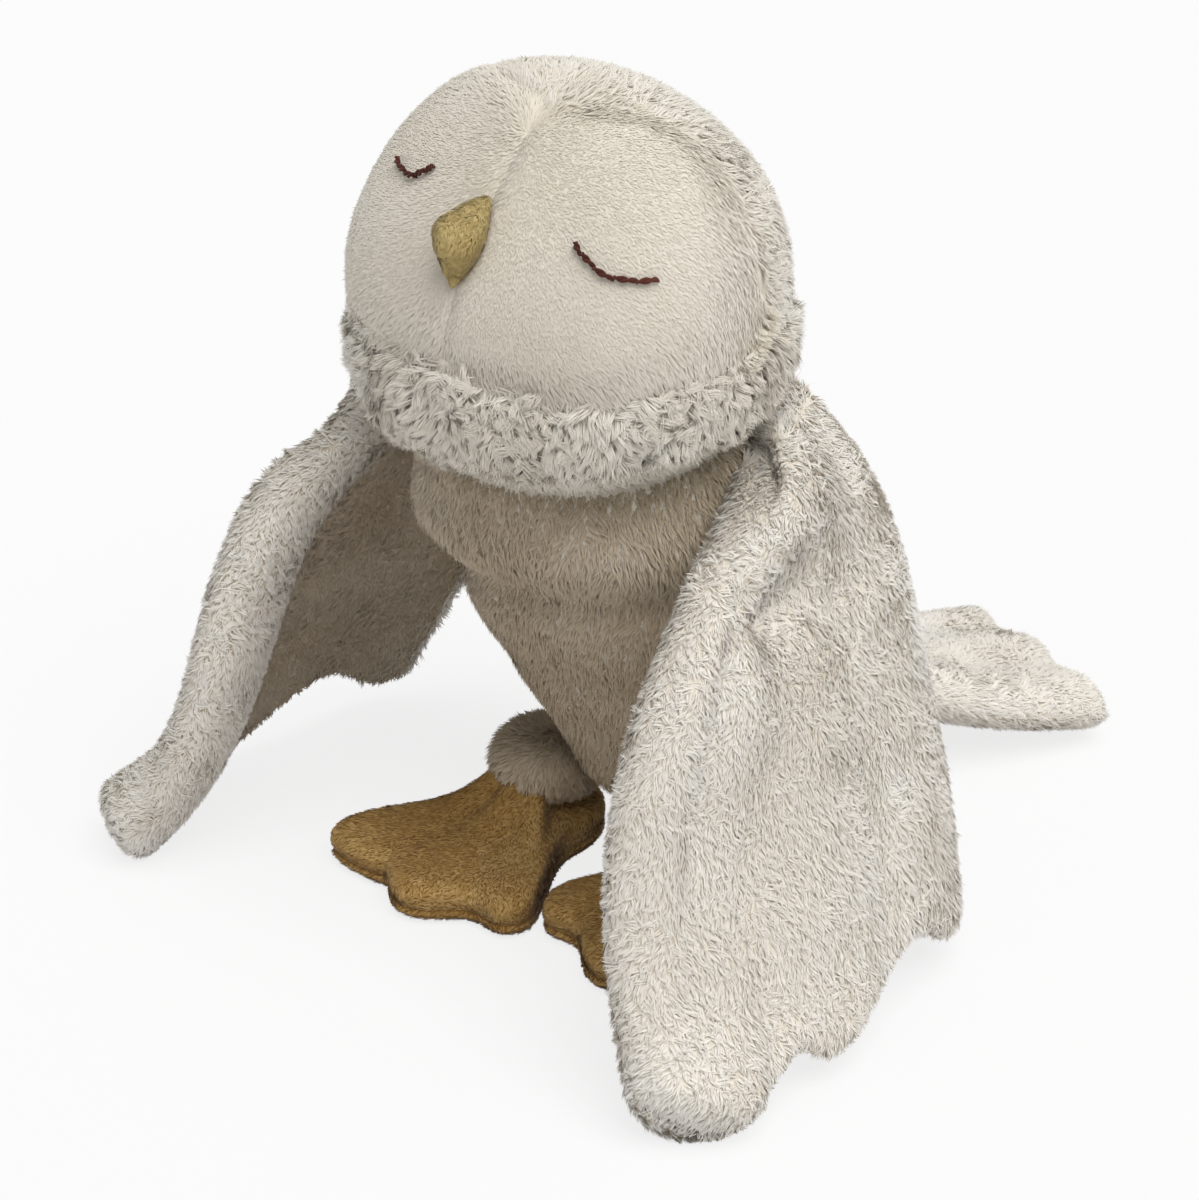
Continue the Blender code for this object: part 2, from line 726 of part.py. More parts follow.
def ball(name, place, half_width, radius, grow=0):
    shape = bmesh.new()
    bmesh.ops.create_uvsphere(shape, u_segments=CUFF_SIDES, v_segments=CUFF_RINGS, radius=1)
    lay = Matrix.Rotation(math.pi / 2, 4, "Y")
    grown = Matrix.Diagonal((half_width + grow, radius + grow, radius + grow, 1))
    bmesh.ops.transform(shape, matrix=Matrix.Translation(place) @ grown @ lay, verts=shape.verts)
    mesh = bpy.data.meshes.new(name)
    shape.to_mesh(mesh)
    shape.free()
    return mesh


# Round the webbed foot from its middle toe outwards: share of half a turn, share of the toe's reach
FOOT_OUTLINE_SHARES = (
    (0.000, 1.00),
    (0.040, 0.96),
    (0.072, 0.91),
    (0.110, 0.95),
    (0.160, 1.01),
    (0.195, 1.03),
    (0.218, 0.94),
    (0.232, 0.71),
    (0.255, 0.46),
    (0.330, 0.31),
    (0.500, 0.26),
    (0.750, 0.25),
    (1.000, 0.24),
    (1.250, 0.26),
    (1.500, 0.26),
    (1.670, 0.30),
    (1.750, 0.43),
    (1.778, 0.63),
    (1.795, 0.83),
    (1.817, 0.92),
    (1.850, 0.94),
    (1.885, 0.89),
    (1.920, 0.89),
    (1.960, 0.96),
)
# Up the foot from its sole: size of the outline, height
FOOT_RISE_SHARES = ((1.0, 0.0), (1.0, 0.45), (0.9, 0.85), (0.62, 1.0), (0.4, 1.30), (0.24, 2.2))


def ankle_place(side):
    back = LEFT_STEP_BACK if side > 0 else 0
    return Vector((HIP_SHIFT + side * ANKLE_SPREAD, ANKLE_Y + back, ANKLE_HEIGHT))


def foot_outline(side, inset, size_share, level):
    """The foot's outline from above, about its ankle, at one level."""
    ankle = ankle_place(side)
    points = []
    for turn_share, reach_share in FOOT_OUTLINE_SHARES:
        turn = math.pi * turn_share
        reach = (reach_share * TOE_REACH - inset) * size_share
        across = side * reach * math.sin(turn)
        points.append(Vector((ankle.x + across, ankle.y - reach * math.cos(turn), level)))
    return points


def foot_mesh(name, side, inset, bottom, drop, skirt=0):
    """The foot above its sole, drawn in by inset round it and by drop on top. skirt lowers its underside."""
    rings = []
    for size_share, height_share in FOOT_RISE_SHARES:
        level = bottom + TOE_THICKNESS * height_share - drop * min(1, 2 * height_share)
        if height_share == 0:
            level -= skirt
        rings.append(foot_outline(side, inset, size_share, level))
    start = ankle_place(side)
    end = ankle_place(side)
    start.z = rings[0][0].z
    end.z = rings[-1][0].z
    return cage_mesh(name, rings, start, end)


for side in (1, -1):
    ankle = ankle_place(side)
    cuff_name = "cuff_" + side_word(side)
    cuff_mesh = ball(cuff_name, ankle, CUFF_HALF_WIDTH, CUFF_RADIUS)
    cuff = place_object(cuff_name, cuff_mesh, CREAM_PLUSH, toy)
    cut(cuff, body_grown)
    room_name = cuff_name + "_room"
    cuff_room = place_cutter(room_name, ball(room_name, ankle, CUFF_HALF_WIDTH, CUFF_RADIUS, ANKLE_GAP))
    word = "foot_" + side_word(side)
    pivot = joint_empty(word + "_pivot", ankle)
    plate = bmesh.new()
    lower = [plate.verts.new(point) for point in foot_outline(side, 0, 1, 0)]
    face = plate.faces.new(lower)
    lifted = bmesh.ops.extrude_face_region(plate, geom=[face])
    raised = [item for item in lifted["geom"] if isinstance(item, bmesh.types.BMVert)]
    bmesh.ops.translate(plate, verts=raised, vec=(0, 0, SOLE_THICKNESS))
    bmesh.ops.recalc_face_normals(plate, faces=plate.faces)
    mesh = bpy.data.meshes.new(word + "_sole")
    plate.to_mesh(mesh)
    plate.free()
    place_object(word + "_sole", mesh, OCHRE_VELOUR, pivot)
    seat = SOLE_THICKNESS + SEAM_GAP
    filling = place_object(
        word + "_filling",
        foot_mesh(word + "_filling", side, VELOUR + SEAM_GAP, seat, VELOUR + SEAM_GAP),
        WADDING,
        pivot,
    )
    cut(filling, cuff_room)
    filling_room = place_cutter(
        word + "_filling_room", foot_mesh(word + "_filling_room", side, VELOUR, seat, VELOUR, OVERRUN)
    )
    upper_mesh = foot_mesh(word + "_upper", side, 0, seat, 0)
    upper = place_object(word + "_upper", upper_mesh, OCHRE_VELOUR, pivot)
    cut(upper, filling_room)
    cut(upper, cuff_room)

# Tail: half width, half thickness, height of its middle, along its length
TAIL_ROW_SHARES = (
    (-0.22, 0.42, 0.80, 1.08),
    (0.14, 0.50, 0.99, 0.98),
    (0.46, 0.72, 0.70, 0.55),
    (0.80, 0.92, 0.64, 0.30),
    (1.06, 1.03, 0.62, 0.18),
)
# Across the tail: place, reach along it, thickness
TAIL_COLUMN_SHARES = (
    (-1.00, 0.90, 0.0),
    (-0.68, 1.00, 0.95),
    (-0.34, 0.91, 0.72),
    (0.00, 1.01, 1.0),
    (0.34, 0.91, 0.72),
    (0.68, 1.00, 0.95),
    (1.00, 0.90, 0.0),
)


TAIL_AXES = Matrix.Rotation(TAIL_TURN, 3, "Z")


def tail_place(across, along, height):
    """A point of the tail from its distance across and its shares along it and of the root's height."""
    level = (height - 1) * TAIL_ROOT_HEIGHT
    return TAIL_AXES @ Vector((across, along * TAIL_LENGTH, level)) + TAIL_ROOT


def tail_rings(upper, lower, lift):
    """Rings round a layer of the tail. upper and lower say which faces stand off the tail's middle."""
    rings = []
    for along, width, thick, height in TAIL_ROW_SHARES:
        upper_side = []
        lower_side = []
        for across, reach, full in TAIL_COLUMN_SHARES:
            far = along * reach if along > 0 else along
            place = tail_place(across * width * TAIL_HALF_WIDTH, far, height)
            half = full * thick * TAIL_HALF_THICKNESS
            upper_side.append(place + Vector((0, 0, upper * half + lift)))
            lower_side.append(place - Vector((0, 0, lower * half - lift)))
        rings.append(upper_side + lower_side[-2:0:-1])
    return rings


def tail_guide(along):
    """Width, thickness and height shares of the tail at any share along it."""
    rows = list(zip(TAIL_ROW_SHARES, TAIL_ROW_SHARES[1:]))
    before, after = next(pair for pair in rows if along <= pair[1][0])
    part = (along - before[0]) / (after[0] - before[0])
    return [a + (b - a) * part for a, b in zip(before[1:], after[1:])]


def tail_fill_mesh(name, grow=0):
    """The tail's stuffing: flat oval sections inside it, grown by a distance."""
    rings = []
    for along in TAIL_FILL_STATION_SHARES:
        width, thick, height = tail_guide(along)
        half_width = width * TAIL_FILL_WIDTH_SHARE * TAIL_HALF_WIDTH
        half_thickness = thick * TAIL_FILL_THICK_SHARE * TAIL_HALF_THICKNESS
        ring = []
        for k in range(TAIL_FILL_SIDES):
            angle = 2 * math.pi * k / TAIL_FILL_SIDES
            lifted = Vector((0, 0, half_thickness * math.sin(angle)))
            ring.append(tail_place(half_width * math.cos(angle), along, height) + lifted)
        rings.append(ring)
    first = sum(rings[0], Vector()) / len(rings[0])
    last = sum(rings[-1], Vector()) / len(rings[-1])
    return cage_mesh(name, rings, first, last, grow)


tail_filling = place_object("tail_filling", tail_fill_mesh("tail_filling"), WADDING, tail_pivot)
smooth(tail_filling)
cut(tail_filling, body_grown)
tail_room = place_cutter("tail_room", tail_fill_mesh("tail_room", SEAM_GAP * TAIL_ROOM_GROWTH))
smooth(tail_room)
for name, upper, lower in (("tail_upper", 1, 0), ("tail_under", 0, 1)):
    lift = (upper - lower) * SEAM_GAP / 2
    layer_mesh = sheet_cage(name, tail_rings(upper, lower, lift), len(TAIL_COLUMN_SHARES))
    layer = place_object(name, layer_mesh, CREAM_PLUSH, tail_pivot)
    smooth(layer)
    cut(layer, tail_room)
    cut(layer, body_grown)
    cut(layer, floor_cutter)
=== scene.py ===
"""A stuffed owl in cream plush, leaning on its spread wings, on a white studio floor.

Metres, +Z up. The owl looks along -Y, so its left side lies at +X. Each stuffed form is a smooth spline surface
over the pattern's own sections, drawn in under its pile. The pile is hundreds of thousands of thin bent blades,
which lean together in tufts and follow the way the cloth is brushed.
"""

import math

import bpy
import numpy as np
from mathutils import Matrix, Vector


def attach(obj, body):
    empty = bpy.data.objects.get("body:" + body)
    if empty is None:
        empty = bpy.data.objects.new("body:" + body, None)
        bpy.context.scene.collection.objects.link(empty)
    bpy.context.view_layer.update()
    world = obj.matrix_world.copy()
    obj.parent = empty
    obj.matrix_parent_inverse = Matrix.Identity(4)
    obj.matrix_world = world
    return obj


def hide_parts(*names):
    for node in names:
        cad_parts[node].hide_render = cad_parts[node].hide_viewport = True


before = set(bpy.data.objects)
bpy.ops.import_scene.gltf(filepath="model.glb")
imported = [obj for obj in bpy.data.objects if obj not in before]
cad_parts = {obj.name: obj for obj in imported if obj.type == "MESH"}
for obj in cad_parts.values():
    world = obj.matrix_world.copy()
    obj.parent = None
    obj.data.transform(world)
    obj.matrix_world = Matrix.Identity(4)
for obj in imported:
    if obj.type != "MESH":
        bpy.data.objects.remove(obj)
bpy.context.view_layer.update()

# The place in the pattern's own frame that comes to stand at the origin
TOY_MIDDLE = np.array([0.0, 0.0704, 0.0])

# Pile: how long it is, and how far the cloth under it lies inside the toy's outline
PLUSH_PILE = 0.0048
RUFF_PILE = 0.0062
WING_PILE = 0.0038
LINING_PILE = 0.0028
BELLY_PILE = 0.0040
CHEST_PILE = 0.0062
CUFF_PILE = 0.0048
VELOUR_PILE = 0.0015
NAP_PILE = 0.0018
PLUSH_INSET = 0.0030
VELOUR_INSET = 0.0012
NAP_INSET = 0.0007

# Each pile's blades: how many to a square metre, and how wide each is
HOOD_BLADES = (2.2e6, 0.00036)
FACE_BLADES = (5.0e6, 0.00037)
BEAK_BLADES = (9.0e6, 0.00030)
RUFF_BLADES = (5.2e6, 0.00036)
BODY_BLADES = (2.2e6, 0.00038)
WING_BLADES = (2.75e6, 0.00037)
ROLL_BLADES = (3.2e6, 0.00042)
LINING_BLADES = (1.4e6, 0.00050)
TAIL_BLADES = (3.0e6, 0.00036)
TAIL_EDGE_BLADES = (2.8e6, 0.00036)
TAIL_UNDER_BLADES = (1.2e6, 0.00050)
CUFF_BLADES = (2.6e6, 0.00038)
UPPER_BLADES = (4.0e6, 0.00036)
SOLE_BLADES = (2.0e6, 0.00036)
DENSITY = 1.0

# Of the body's blades the back keeps three in four, which are wider, and the belly nearly all
BACK_SHARE = 0.75
BACK_WIDTH = 0.00044
BELLY_SHARE = 0.94

# Longer pile grows below this height of the hood, and in this share of a wing or the tail at its root
HOOD_LONG_BELOW = 0.198
HOOD_LONG_FADE = 0.03
TOP_SHARE = 0.09

# No blade grows deeper than this inside another form, or nearer to the floor under the feet than the sole's lift
HIDDEN_DEPTH = 0.002
HIDDEN_DEPTH_AT_NECK = 0.001
SOLE_LIFT = 0.0006
FLOOR_CLEARANCE = 0.0002

# Head
HEAD_HALF_WIDTH = 0.066
HEAD_RISE = 0.064
HEAD_DEPTH = 0.066
HEAD_MIDDLE = np.array([0.0, 0.014, 0.203])
RING_SIDES = 12

# Body
BODY_HALF_WIDTH = 0.062
BODY_DEPTH = 0.122
BODY_HEIGHT = 0.172
BODY_AXIS_Y = 0.026
HIP_SHIFT = 0.015
BELLY_SEAM_Y = 0.040

# Face
FACE_PITCH = math.radians(42)
FACE_TURN = math.radians(6)
FACE_LEAN = math.radians(6)
FACE_SUNK = 0.0014
SEAM_DEPTH = 0.0009
SEAM_HALF_WIDTH = 0.0022
RIM_DEPTH = 0.0022
RIM_WIDTH = 0.004

# The hood lies this much deeper under the face, from this far in, and its pile reaches this far over the edge
FACE_SEAT = 0.0016
FACE_SEAT_FADE = 0.003
HOOD_OVERLAP = 0.0006

# How far in from the face's edge its pile is longer, on the left and on the right half
LONG_RIMS = {1: 0.007, -1: 0.018}

# Beak and eyes, placed across and up the face from the head's middle
BEAK_TOP = 0.0010
BEAK_LENGTH = 0.029
BEAK_HALF_WIDTH = 0.0085
BEAK_REACH = 0.0115
EYE_STITCHES = 5
EYE_LIFT = 0.0006
EYE_STEPS = 100
THREAD_RADIUS = 0.00090
STITCH_OVERLAP = 0.05
STITCH_STEP = 0.00022
STITCH_SINK = 0.0009

# A ply's own radius and its distance from the stitch's middle, as shares of the thread's radius
PLY_RADIUS = 0.62
PLY_OFFSET = 0.48

# Ruff
RUFF_HALF_HEIGHT = 0.0190
RUFF_HALF_DEPTH = 0.0115
RUFF_FRONT_Z = 0.176
RUFF_END_RISE = 0.007
RUFF_SPAN = math.radians(140)
RUFF_FRONT_SHARE = 0.80
RUFF_BACK_SHARE = 0.98
RUFF_SIDE_SHARE = 0.97
RUFF_TAPER_REACH = 0.90
RUFF_TAPER_POWER = 0.42
RUFF_RUMPLE_SIZE = 0.009
RUFF_RUMPLE_HEIGHT = 0.0016

# Wings
WING_TIP_X = 0.110
WING_TIP_Y = -0.072
WING_DEPTH = 0.130
WING_HEIGHT = 0.155
WING_CAMBER = 0.020
WING_ROLL = 0.0120

# Feet and legs
ANKLE_SPREAD = 0.0357
ANKLE_Y = 0.027
LEFT_STEP_BACK = 0.010
ANKLE_HEIGHT = 0.030
CUFF_HALF_WIDTH = 0.0170
CUFF_FULLER = 0.0042
CUFF_DROP = 0.0015
CUFF_HALF_HEIGHT = 0.0098
BARREL_POWER = 0.6
TOE_REACH = 0.070
TOE_THICKNESS = 0.0125

# Tail
TAIL_ROOT = np.array([0.008, 0.095, 0.050])
TAIL_LENGTH = 0.122
TAIL_HALF_WIDTH = 0.051
TAIL_HALF_THICKNESS = 0.020
TAIL_TURN = math.radians(-18.7)

# Camera, as the toy was photographed
VIEW_AZIMUTH = math.radians(41)
VIEW_ELEVATION = math.radians(27)
VIEW_DISTANCE = 0.850
VIEW_TARGET = np.array([0.024, 0.0, 0.110])
VIEW_LENS = 87.0

# Light: the sky's strength on the toy, the overhead lamp, and how much of the floor is plain white to the camera
SKY_LIGHT = 0.35
LAMP_STRENGTH = 2.45
LAMP_WIDTH = math.radians(50)
LAMP_FROM = (0.48, -0.12, 1.0)
PLAIN_FLOOR_SHARE = 0.80
FLOOR_REACH = 4.0

UP = np.array([0.0, 0.0, 1.0])
WHITE = (1, 1, 1, 1)


# Surfaces


def unit(vectors):
    """Each vector over its own length."""
    return vectors / np.maximum(np.linalg.norm(vectors, axis=-1, keepdims=True), 1e-12)


def spline_weights(count, places, closed):
    """What each of count control points weighs at each place of a uniform cubic B-spline. An open one holds its
    end points twice over."""
    low = np.floor(places).astype(int)
    t = places - low
    basis = np.stack([(1 - t) ** 3, 3 * t**3 - 6 * t**2 + 4, -3 * t**3 + 3 * t**2 + 3 * t + 1, t**3], 1) / 6
    weights = np.zeros((len(places), count))
    for k in range(4):
        index = low - 1 + k
        index = index % count if closed else np.clip(index, 0, count - 1)
        np.add.at(weights, (np.arange(len(places)), index), basis[:, k])
    return weights


def ring_surface(rings, start, end, rows, columns):
    """A closed spline surface through a stack of rings with a pole at each end. Beyond a pole the first ring is
    carried on turned half round, so that the surface runs smoothly over it."""
    rings = np.asarray(rings)
    sides = rings.shape[1]
    half = sides // 2
    poles = [np.repeat(np.asarray(pole)[None], sides, 0) for pole in (start, end)]
    control = np.stack([np.roll(rings[0], half, 0), poles[0], *rings, poles[1], np.roll(rings[-1], half, 0)])
    along = spline_weights(len(control), np.linspace(1, len(control) - 2, rows), False)
    around = spline_weights(sides, np.arange(columns) * sides / columns, True)
    grid = np.einsum("rc,csk,ms->rmk", along, control, around)
    grid[0] = grid[0].mean(0)
    grid[-1] = grid[-1].mean(0)
    return grid


def grid_normals(grid, closed):
    """The cross product of a grid's two directions at every point, pointing away from the grid's middle."""
    if closed:
        across = np.roll(grid, -1, 1) - np.roll(grid, 1, 1)
    else:
        across = np.gradient(grid, axis=1)
    normals = np.cross(across, np.gradient(grid, axis=0))
    if closed:
        normals[0] = normals[1].mean(0)
        normals[-1] = normals[-2].mean(0)
    return unit(normals)


def faced_out(grid, closed=True, by_ring=False):
    """The grid's normals, turned round as one if they point at its middle, or at the middles of its rings."""
    normals = grid_normals(grid, closed)
    middle = grid.mean(1, keepdims=True) if by_ring else grid.reshape(-1, 3).mean(0)
    return normals if ((grid - middle) * normals).sum() > 0 else -normals


def shrunk(grid, inset, by_ring=False):
    """A closed form drawn in by a distance along its normals."""
    return grid - faced_out(grid, by_ring=by_ring) * inset


def lapped(grid):
    """A closed grid with its first column once more at its end."""
    return np.concatenate([grid, grid[:, :1]], 1)


def between(field, row, column, v, u):
    """A field read the share v beyond its rows and the share u beyond its columns, by straight blends."""
    upper = field[row, column] * (1 - u) + field[row, column + 1] * u
    lower = field[row + 1, column] * (1 - u) + field[row + 1, column + 1] * u
    return upper * (1 - v) + lower * v


def toy(grid):
    """From the pattern's own frame to the toy's place, with what would sink into the floor flat upon it."""
    return np.maximum(grid - TOY_MIDDLE, np.array([-np.inf, -np.inf, FLOOR_CLEARANCE]))


def placed(name, data):
    """A new object in the scene."""
    made = bpy.data.objects.new(name, data)
    bpy.context.scene.collection.objects.link(made)
    return made


def smooth_object(name, points, faces, finish):
    """A smooth mesh in one finish."""
    mesh = bpy.data.meshes.new(name)
    mesh.from_pydata(points.tolist(), [], faces)
    mesh.shade_smooth()
    mesh.materials.append(finish)
    return placed(name, mesh)


def tube_faces(index, first, last):
    """A quad between each four neighbours round a tube, and a fan to the point at each end that has one."""
    beside = np.roll(index, -1, 1)
    faces = np.stack([index[:-1], beside[:-1], beside[1:], index[1:]], -1).reshape(-1, 4).tolist()
    if first is not None:
        faces += np.stack([beside[0], index[0], np.full(index.shape[1], first)], 1).tolist()
    if last is not None:
        faces += np.stack([index[-1], beside[-1], np.full(index.shape[1], last)], 1).tolist()
    return faces


def grid_object(name, grid, closed, finish, flipped, capped):
    """A mesh over a grid: a quad between each four neighbours. A closed grid has one point at each capped pole."""
    rows, columns = grid.shape[:2]
    if closed:
        rings = grid[int(capped[0]) : rows - int(capped[1])]
        points = np.concatenate([rings.reshape(-1, 3), grid[:1, 0], grid[-1:, 0]])
        poles = [len(points) - 2 + k if capped[k] else None for k in range(2)]
        faces = tube_faces(np.arange(len(rings) * columns).reshape(len(rings), columns), *poles)
    else:
        points = grid.reshape(-1, 3)
        index = np.arange(rows * columns).reshape(rows, columns)
        corners = [index[:-1, :-1], index[:-1, 1:], index[1:, 1:], index[1:, :-1]]
        faces = np.stack(corners, -1).reshape(-1, 4).tolist()
    if flipped:
        faces = [face[::-1] for face in faces]
    return smooth_object(name, points, faces, finish)


def cloth_piece(name, grid, outward, finish, body, nodes, closed=True, capped=(True, True)):
    """A sewn and stuffed piece over a grid, its faces turned outward. It stands for CAD nodes and moves with a
    body."""
    flipped = bool((grid_normals(grid, closed) * outward).sum() < 0)
    piece = grid_object(name, toy(grid), closed, finish, flipped, capped)
    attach(piece, body)
    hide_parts(*nodes)


# How closely a fold's line is read, for each of its stops
LINE_STEPS = 24


def read_line(line):
    """Row share, column share and strength at even steps along a line, straight from stop to stop."""
    stops = np.array(line, float)
    steps = np.linspace(0, len(stops) - 1, LINE_STEPS * len(stops))
    return [np.interp(steps, np.arange(len(stops)), stops[:, k]) for k in range(3)]


def pressed(grid, normals, line, depth, width):
    """A surface pushed in along a line, or out where the depth is negative: depth times a bell curve of the
    distance from the line. The line's stops are a row share, a column share and a strength."""
    rows, columns = grid.shape[:2]
    row, column, strength = read_line(line)
    row = np.clip(row * (rows - 1), 0, rows - 1)
    column = column * columns
    low_row, low_column = np.minimum(row.astype(int), rows - 2), np.floor(column).astype(int)
    left = low_column % columns
    spots = between(lapped(grid), low_row, left, (row - low_row)[:, None], (column - low_column)[:, None])
    apart = np.linalg.norm(grid[:, :, None] - spots, axis=-1)
    near = apart.argmin(-1)
    alike = np.clip((normals * normals[low_row, left][near]).sum(-1) * 2, 0, 1)
    bell = np.exp(-((apart.min(-1) / width) ** 2)) * strength[near] * alike
    return grid - normals * (depth * bell)[..., None]


def bent(grid, normals, line, depth, width):
    """A padded form bent in along a line of its outer cloth: both of its sides move together, against the cloth's
    normal there, by depth times a bell curve of the distance from the line."""
    rows, columns = grid.shape[:2]
    row, column, strength = read_line(line)
    index = np.rint(row * (rows - 1)).astype(int), np.rint(column * columns).astype(int) % columns
    apart = np.linalg.norm(grid[:, :, None] - grid[index], axis=-1)
    bells = np.exp(-((apart / width) ** 2)) * strength
    share = bells / np.maximum(bells.sum(-1, keepdims=True), 1e-12)
    return grid - (share @ normals[index]) * (depth * bells.max(-1))[..., None]


def rumpled(grid, normals, size, height, salt):
    """A surface moved out and in by smooth noise, as stuffing shows through cloth."""
    noise = drift(grid.reshape(-1, 3), size, salt).reshape(grid.shape[:2]) - 0.5
    return grid + normals * (noise * 2 * height)[..., None]


# Chance, the same on every run


def chance(keys, salt):
    """An even number from 0 to 1 for each whole-number triple, from its digits mixed by shifts and products."""
    keys = keys.astype(np.int64)
    mixed = keys[..., 0] * 73856093 ^ keys[..., 1] * 19349663 ^ keys[..., 2] * 83492791 ^ (salt * 40503)
    mixed = (mixed ^ (mixed >> 13)) * 1274126177 & 0x7FFFFFFF
    mixed = (mixed ^ (mixed >> 11)) * 668265263 & 0x7FFFFFFF
    return (mixed ^ (mixed >> 15)) / 0x7FFFFFFF


def throw(keys, salt):
    """A vector with each coordinate from -1 to 1 for each whole-number triple."""
    return np.stack([chance(keys, salt + k) for k in range(3)], -1) * 2 - 1


def drift(points, size, salt):
    """Smooth noise from 0 to 1: chance values at the corners of a lattice, blended between them."""
    scaled = points / size
    cell = np.floor(scaled).astype(np.int64)
    t = scaled - cell
    t = t * t * (3 - 2 * t)
    total = np.zeros(len(points))
    for corner in np.ndindex(2, 2, 2):
        corner = np.array(corner)
        weight = np.where(corner, t, 1 - t).prod(1)
        total += weight * chance(cell + corner, salt)
    return total


def tufts(points, spacing, salt):
    """The nearest tuft to each point. Tufts stand at the points of a lattice, each moved at random in its cell.
    Returns their places and keys."""
    cell = np.floor(points / spacing).astype(np.int64)
    nearest = np.full(len(points), np.inf)
    places = np.zeros_like(points)
    keys = np.zeros_like(cell)
    for offset in np.ndindex(3, 3, 3):
        key = cell + np.array(offset) - 1
        place = (key + (throw(key, salt) + 1) / 2) * spacing
        far = ((points - place) ** 2).sum(1)
        closer = far < nearest
        nearest = np.where(closer, far, nearest)
        places[closer] = place[closer]
        keys[closer] = key[closer]
    return places, keys


# Pile


def scatter(grid, normals, per_area, seed, closed=True):
    """Roots spread evenly by area over a grid: their places and normals, the way down its rows, and how far along
    its rows and columns they lie."""
    rng = np.random.default_rng(seed)
    wide, facing = (lapped(grid), lapped(normals)) if closed else (grid, normals)
    across = wide[:-1, 1:] - wide[:-1, :-1]
    down = wide[1:, :-1] - wide[:-1, :-1]
    other = np.cross(wide[1:, 1:] - wide[1:, :-1], wide[1:, 1:] - wide[:-1, 1:])
    areas = (np.linalg.norm(np.cross(across, down), axis=-1) + np.linalg.norm(other, axis=-1)).ravel() / 2
    count = int(areas.sum() * per_area * DENSITY)
    spots = (np.arange(count) + rng.random(count)) / count * areas.sum()
    cell = np.minimum(np.searchsorted(np.cumsum(areas), spots), len(areas) - 1)
    row, column = np.divmod(cell, wide.shape[1] - 1)
    v, u = rng.random((2, count))

    def read(field):
        """A field of the grid at each root."""
        return between(field, row, column, v[:, None], u[:, None])

    return {
        "place": read(wide),
        "normal": unit(read(facing)),
        "down": unit(read(np.gradient(wide, axis=0))),
        "row": (row + v) / (wide.shape[0] - 1),
        "column": (column + u) / (wide.shape[1] - 1),
    }


def kept(roots, keep):
    """The roots for which keep is true."""
    return {name: value[keep] for name, value in roots.items()}


def clear_roots(skin, outward, per_area, seed, outline, depth=HIDDEN_DEPTH, closed=True):
    """Roots over a skin, without those that lie deeper than this inside another form."""
    roots = scatter(skin, outward, per_area, seed, closed)
    return kept(roots, outside(outline, roots["place"]) > -depth)


def flat_on(vectors, normals):
    """What is left of vectors along the surface."""
    return vectors - normals * (vectors * normals).sum(-1, keepdims=True)


# What every blade has of its height or width, and what chance adds: by its tuft, and by itself
TUFT_HEIGHT = (0.72, 0.28)
OWN_HEIGHT = (0.85, 0.30)
OWN_WIDTH = (0.7, 0.6)

# How much of a blade's lean is its tuft's and its swirl's
TUFT_LEAN = 0.9
SWIRL_LEAN = 0.8

# Where a blade bends and how wide it is there, how it draws to its tuft, how far it twists, and how much of the
# light it takes is its own side's
BEND_AT = 0.55
BEND_WIDTH = 0.85
DRAW_POWER = 1.5
TWIST = 0.3
OWN_FACING = 0.3

# A blade's tone: the shares of broad patches of this size, of its tuft and of itself
PATCH_SIZE = 0.022
PATCH_TONE = 0.58
TUFT_TONE = 0.24
OWN_TONE = 0.18


def grow_pile(name, roots, comb, finish, body, length, width, look, seed):
    """One blade at each root: a strip that starts near the normal, bends over to the comb direction and ends in
    a point. Its way is a curve of second degree from its first direction to its last. Blades of one tuft draw
    together at their tips and lean the same way, and so, less, do those of one swirl. A tuft is lit as the round
    lock that it is: its blades' normals turn away from its middle. look holds the terms of pile_look."""
    rng = np.random.default_rng(seed)
    place, normal = toy(roots["place"]), roots["normal"]
    count = len(place)
    comb = unit(flat_on(comb, normal))
    tuft_place, tuft = tufts(place, look["tuft"], seed)
    swirl = np.stack([drift(place, look["swirl"], seed + 50 + k) for k in range(3)], -1) * 2 - 1
    lean = flat_on(look["lean"] * (TUFT_LEAN * throw(tuft, seed + 1) + SWIRL_LEAN * swirl), normal)
    stray = rng.normal(size=(count, 3)) * look["stray"]
    lie = unit(look["lay"] * comb + lean)
    start = unit(look["rise"] * normal + lie + stray)
    end = unit(look["lift"] * normal + lie + stray)
    tall = TUFT_HEIGHT[0] + TUFT_HEIGHT[1] * chance(tuft, seed + 3)
    tall = tall * (OWN_HEIGHT[0] + OWN_HEIGHT[1] * rng.random(count))
    long = (np.broadcast_to(length, count) * tall)[:, None]
    drawn = flat_on(tuft_place - place, normal) * look["draw"]

    def along(t):
        """The point of each blade at the share t of its way."""
        return place + long * (start * (t - t * t / 2) + end * (t * t / 2)) + drawn * t**DRAW_POWER

    middle, tip = along(BEND_AT), along(1.0)
    spread = unit(np.cross(tip - place, normal))
    turn = (rng.random(count) * 2 - 1)[:, None] * TWIST
    spread = spread * np.cos(turn) + np.cross(unit(tip - place), spread) * np.sin(turn)
    half = spread * (width * (OWN_WIDTH[0] + OWN_WIDTH[1] * rng.random(count)) / 2)[:, None]
    points = np.stack([place - half, place + half, middle + half * BEND_WIDTH, middle - half * BEND_WIDTH, tip], 1)
    points[..., 2] = np.maximum(points[..., 2], FLOOR_CLEARANCE)
    tone = PATCH_TONE * drift(place, PATCH_SIZE, seed + 4) + TUFT_TONE * chance(tuft, seed + 5)
    tone = np.clip(tone + OWN_TONE * rng.random(count), 0.03, 0.97)
    away = flat_on(place - tuft_place, normal) / look["tuft"]
    flat = unit(np.cross(half, tip - place))
    facing = unit(normal + look["round"] * away + OWN_FACING * flat)
    blade_object(name, points, tone, facing, finish, body)


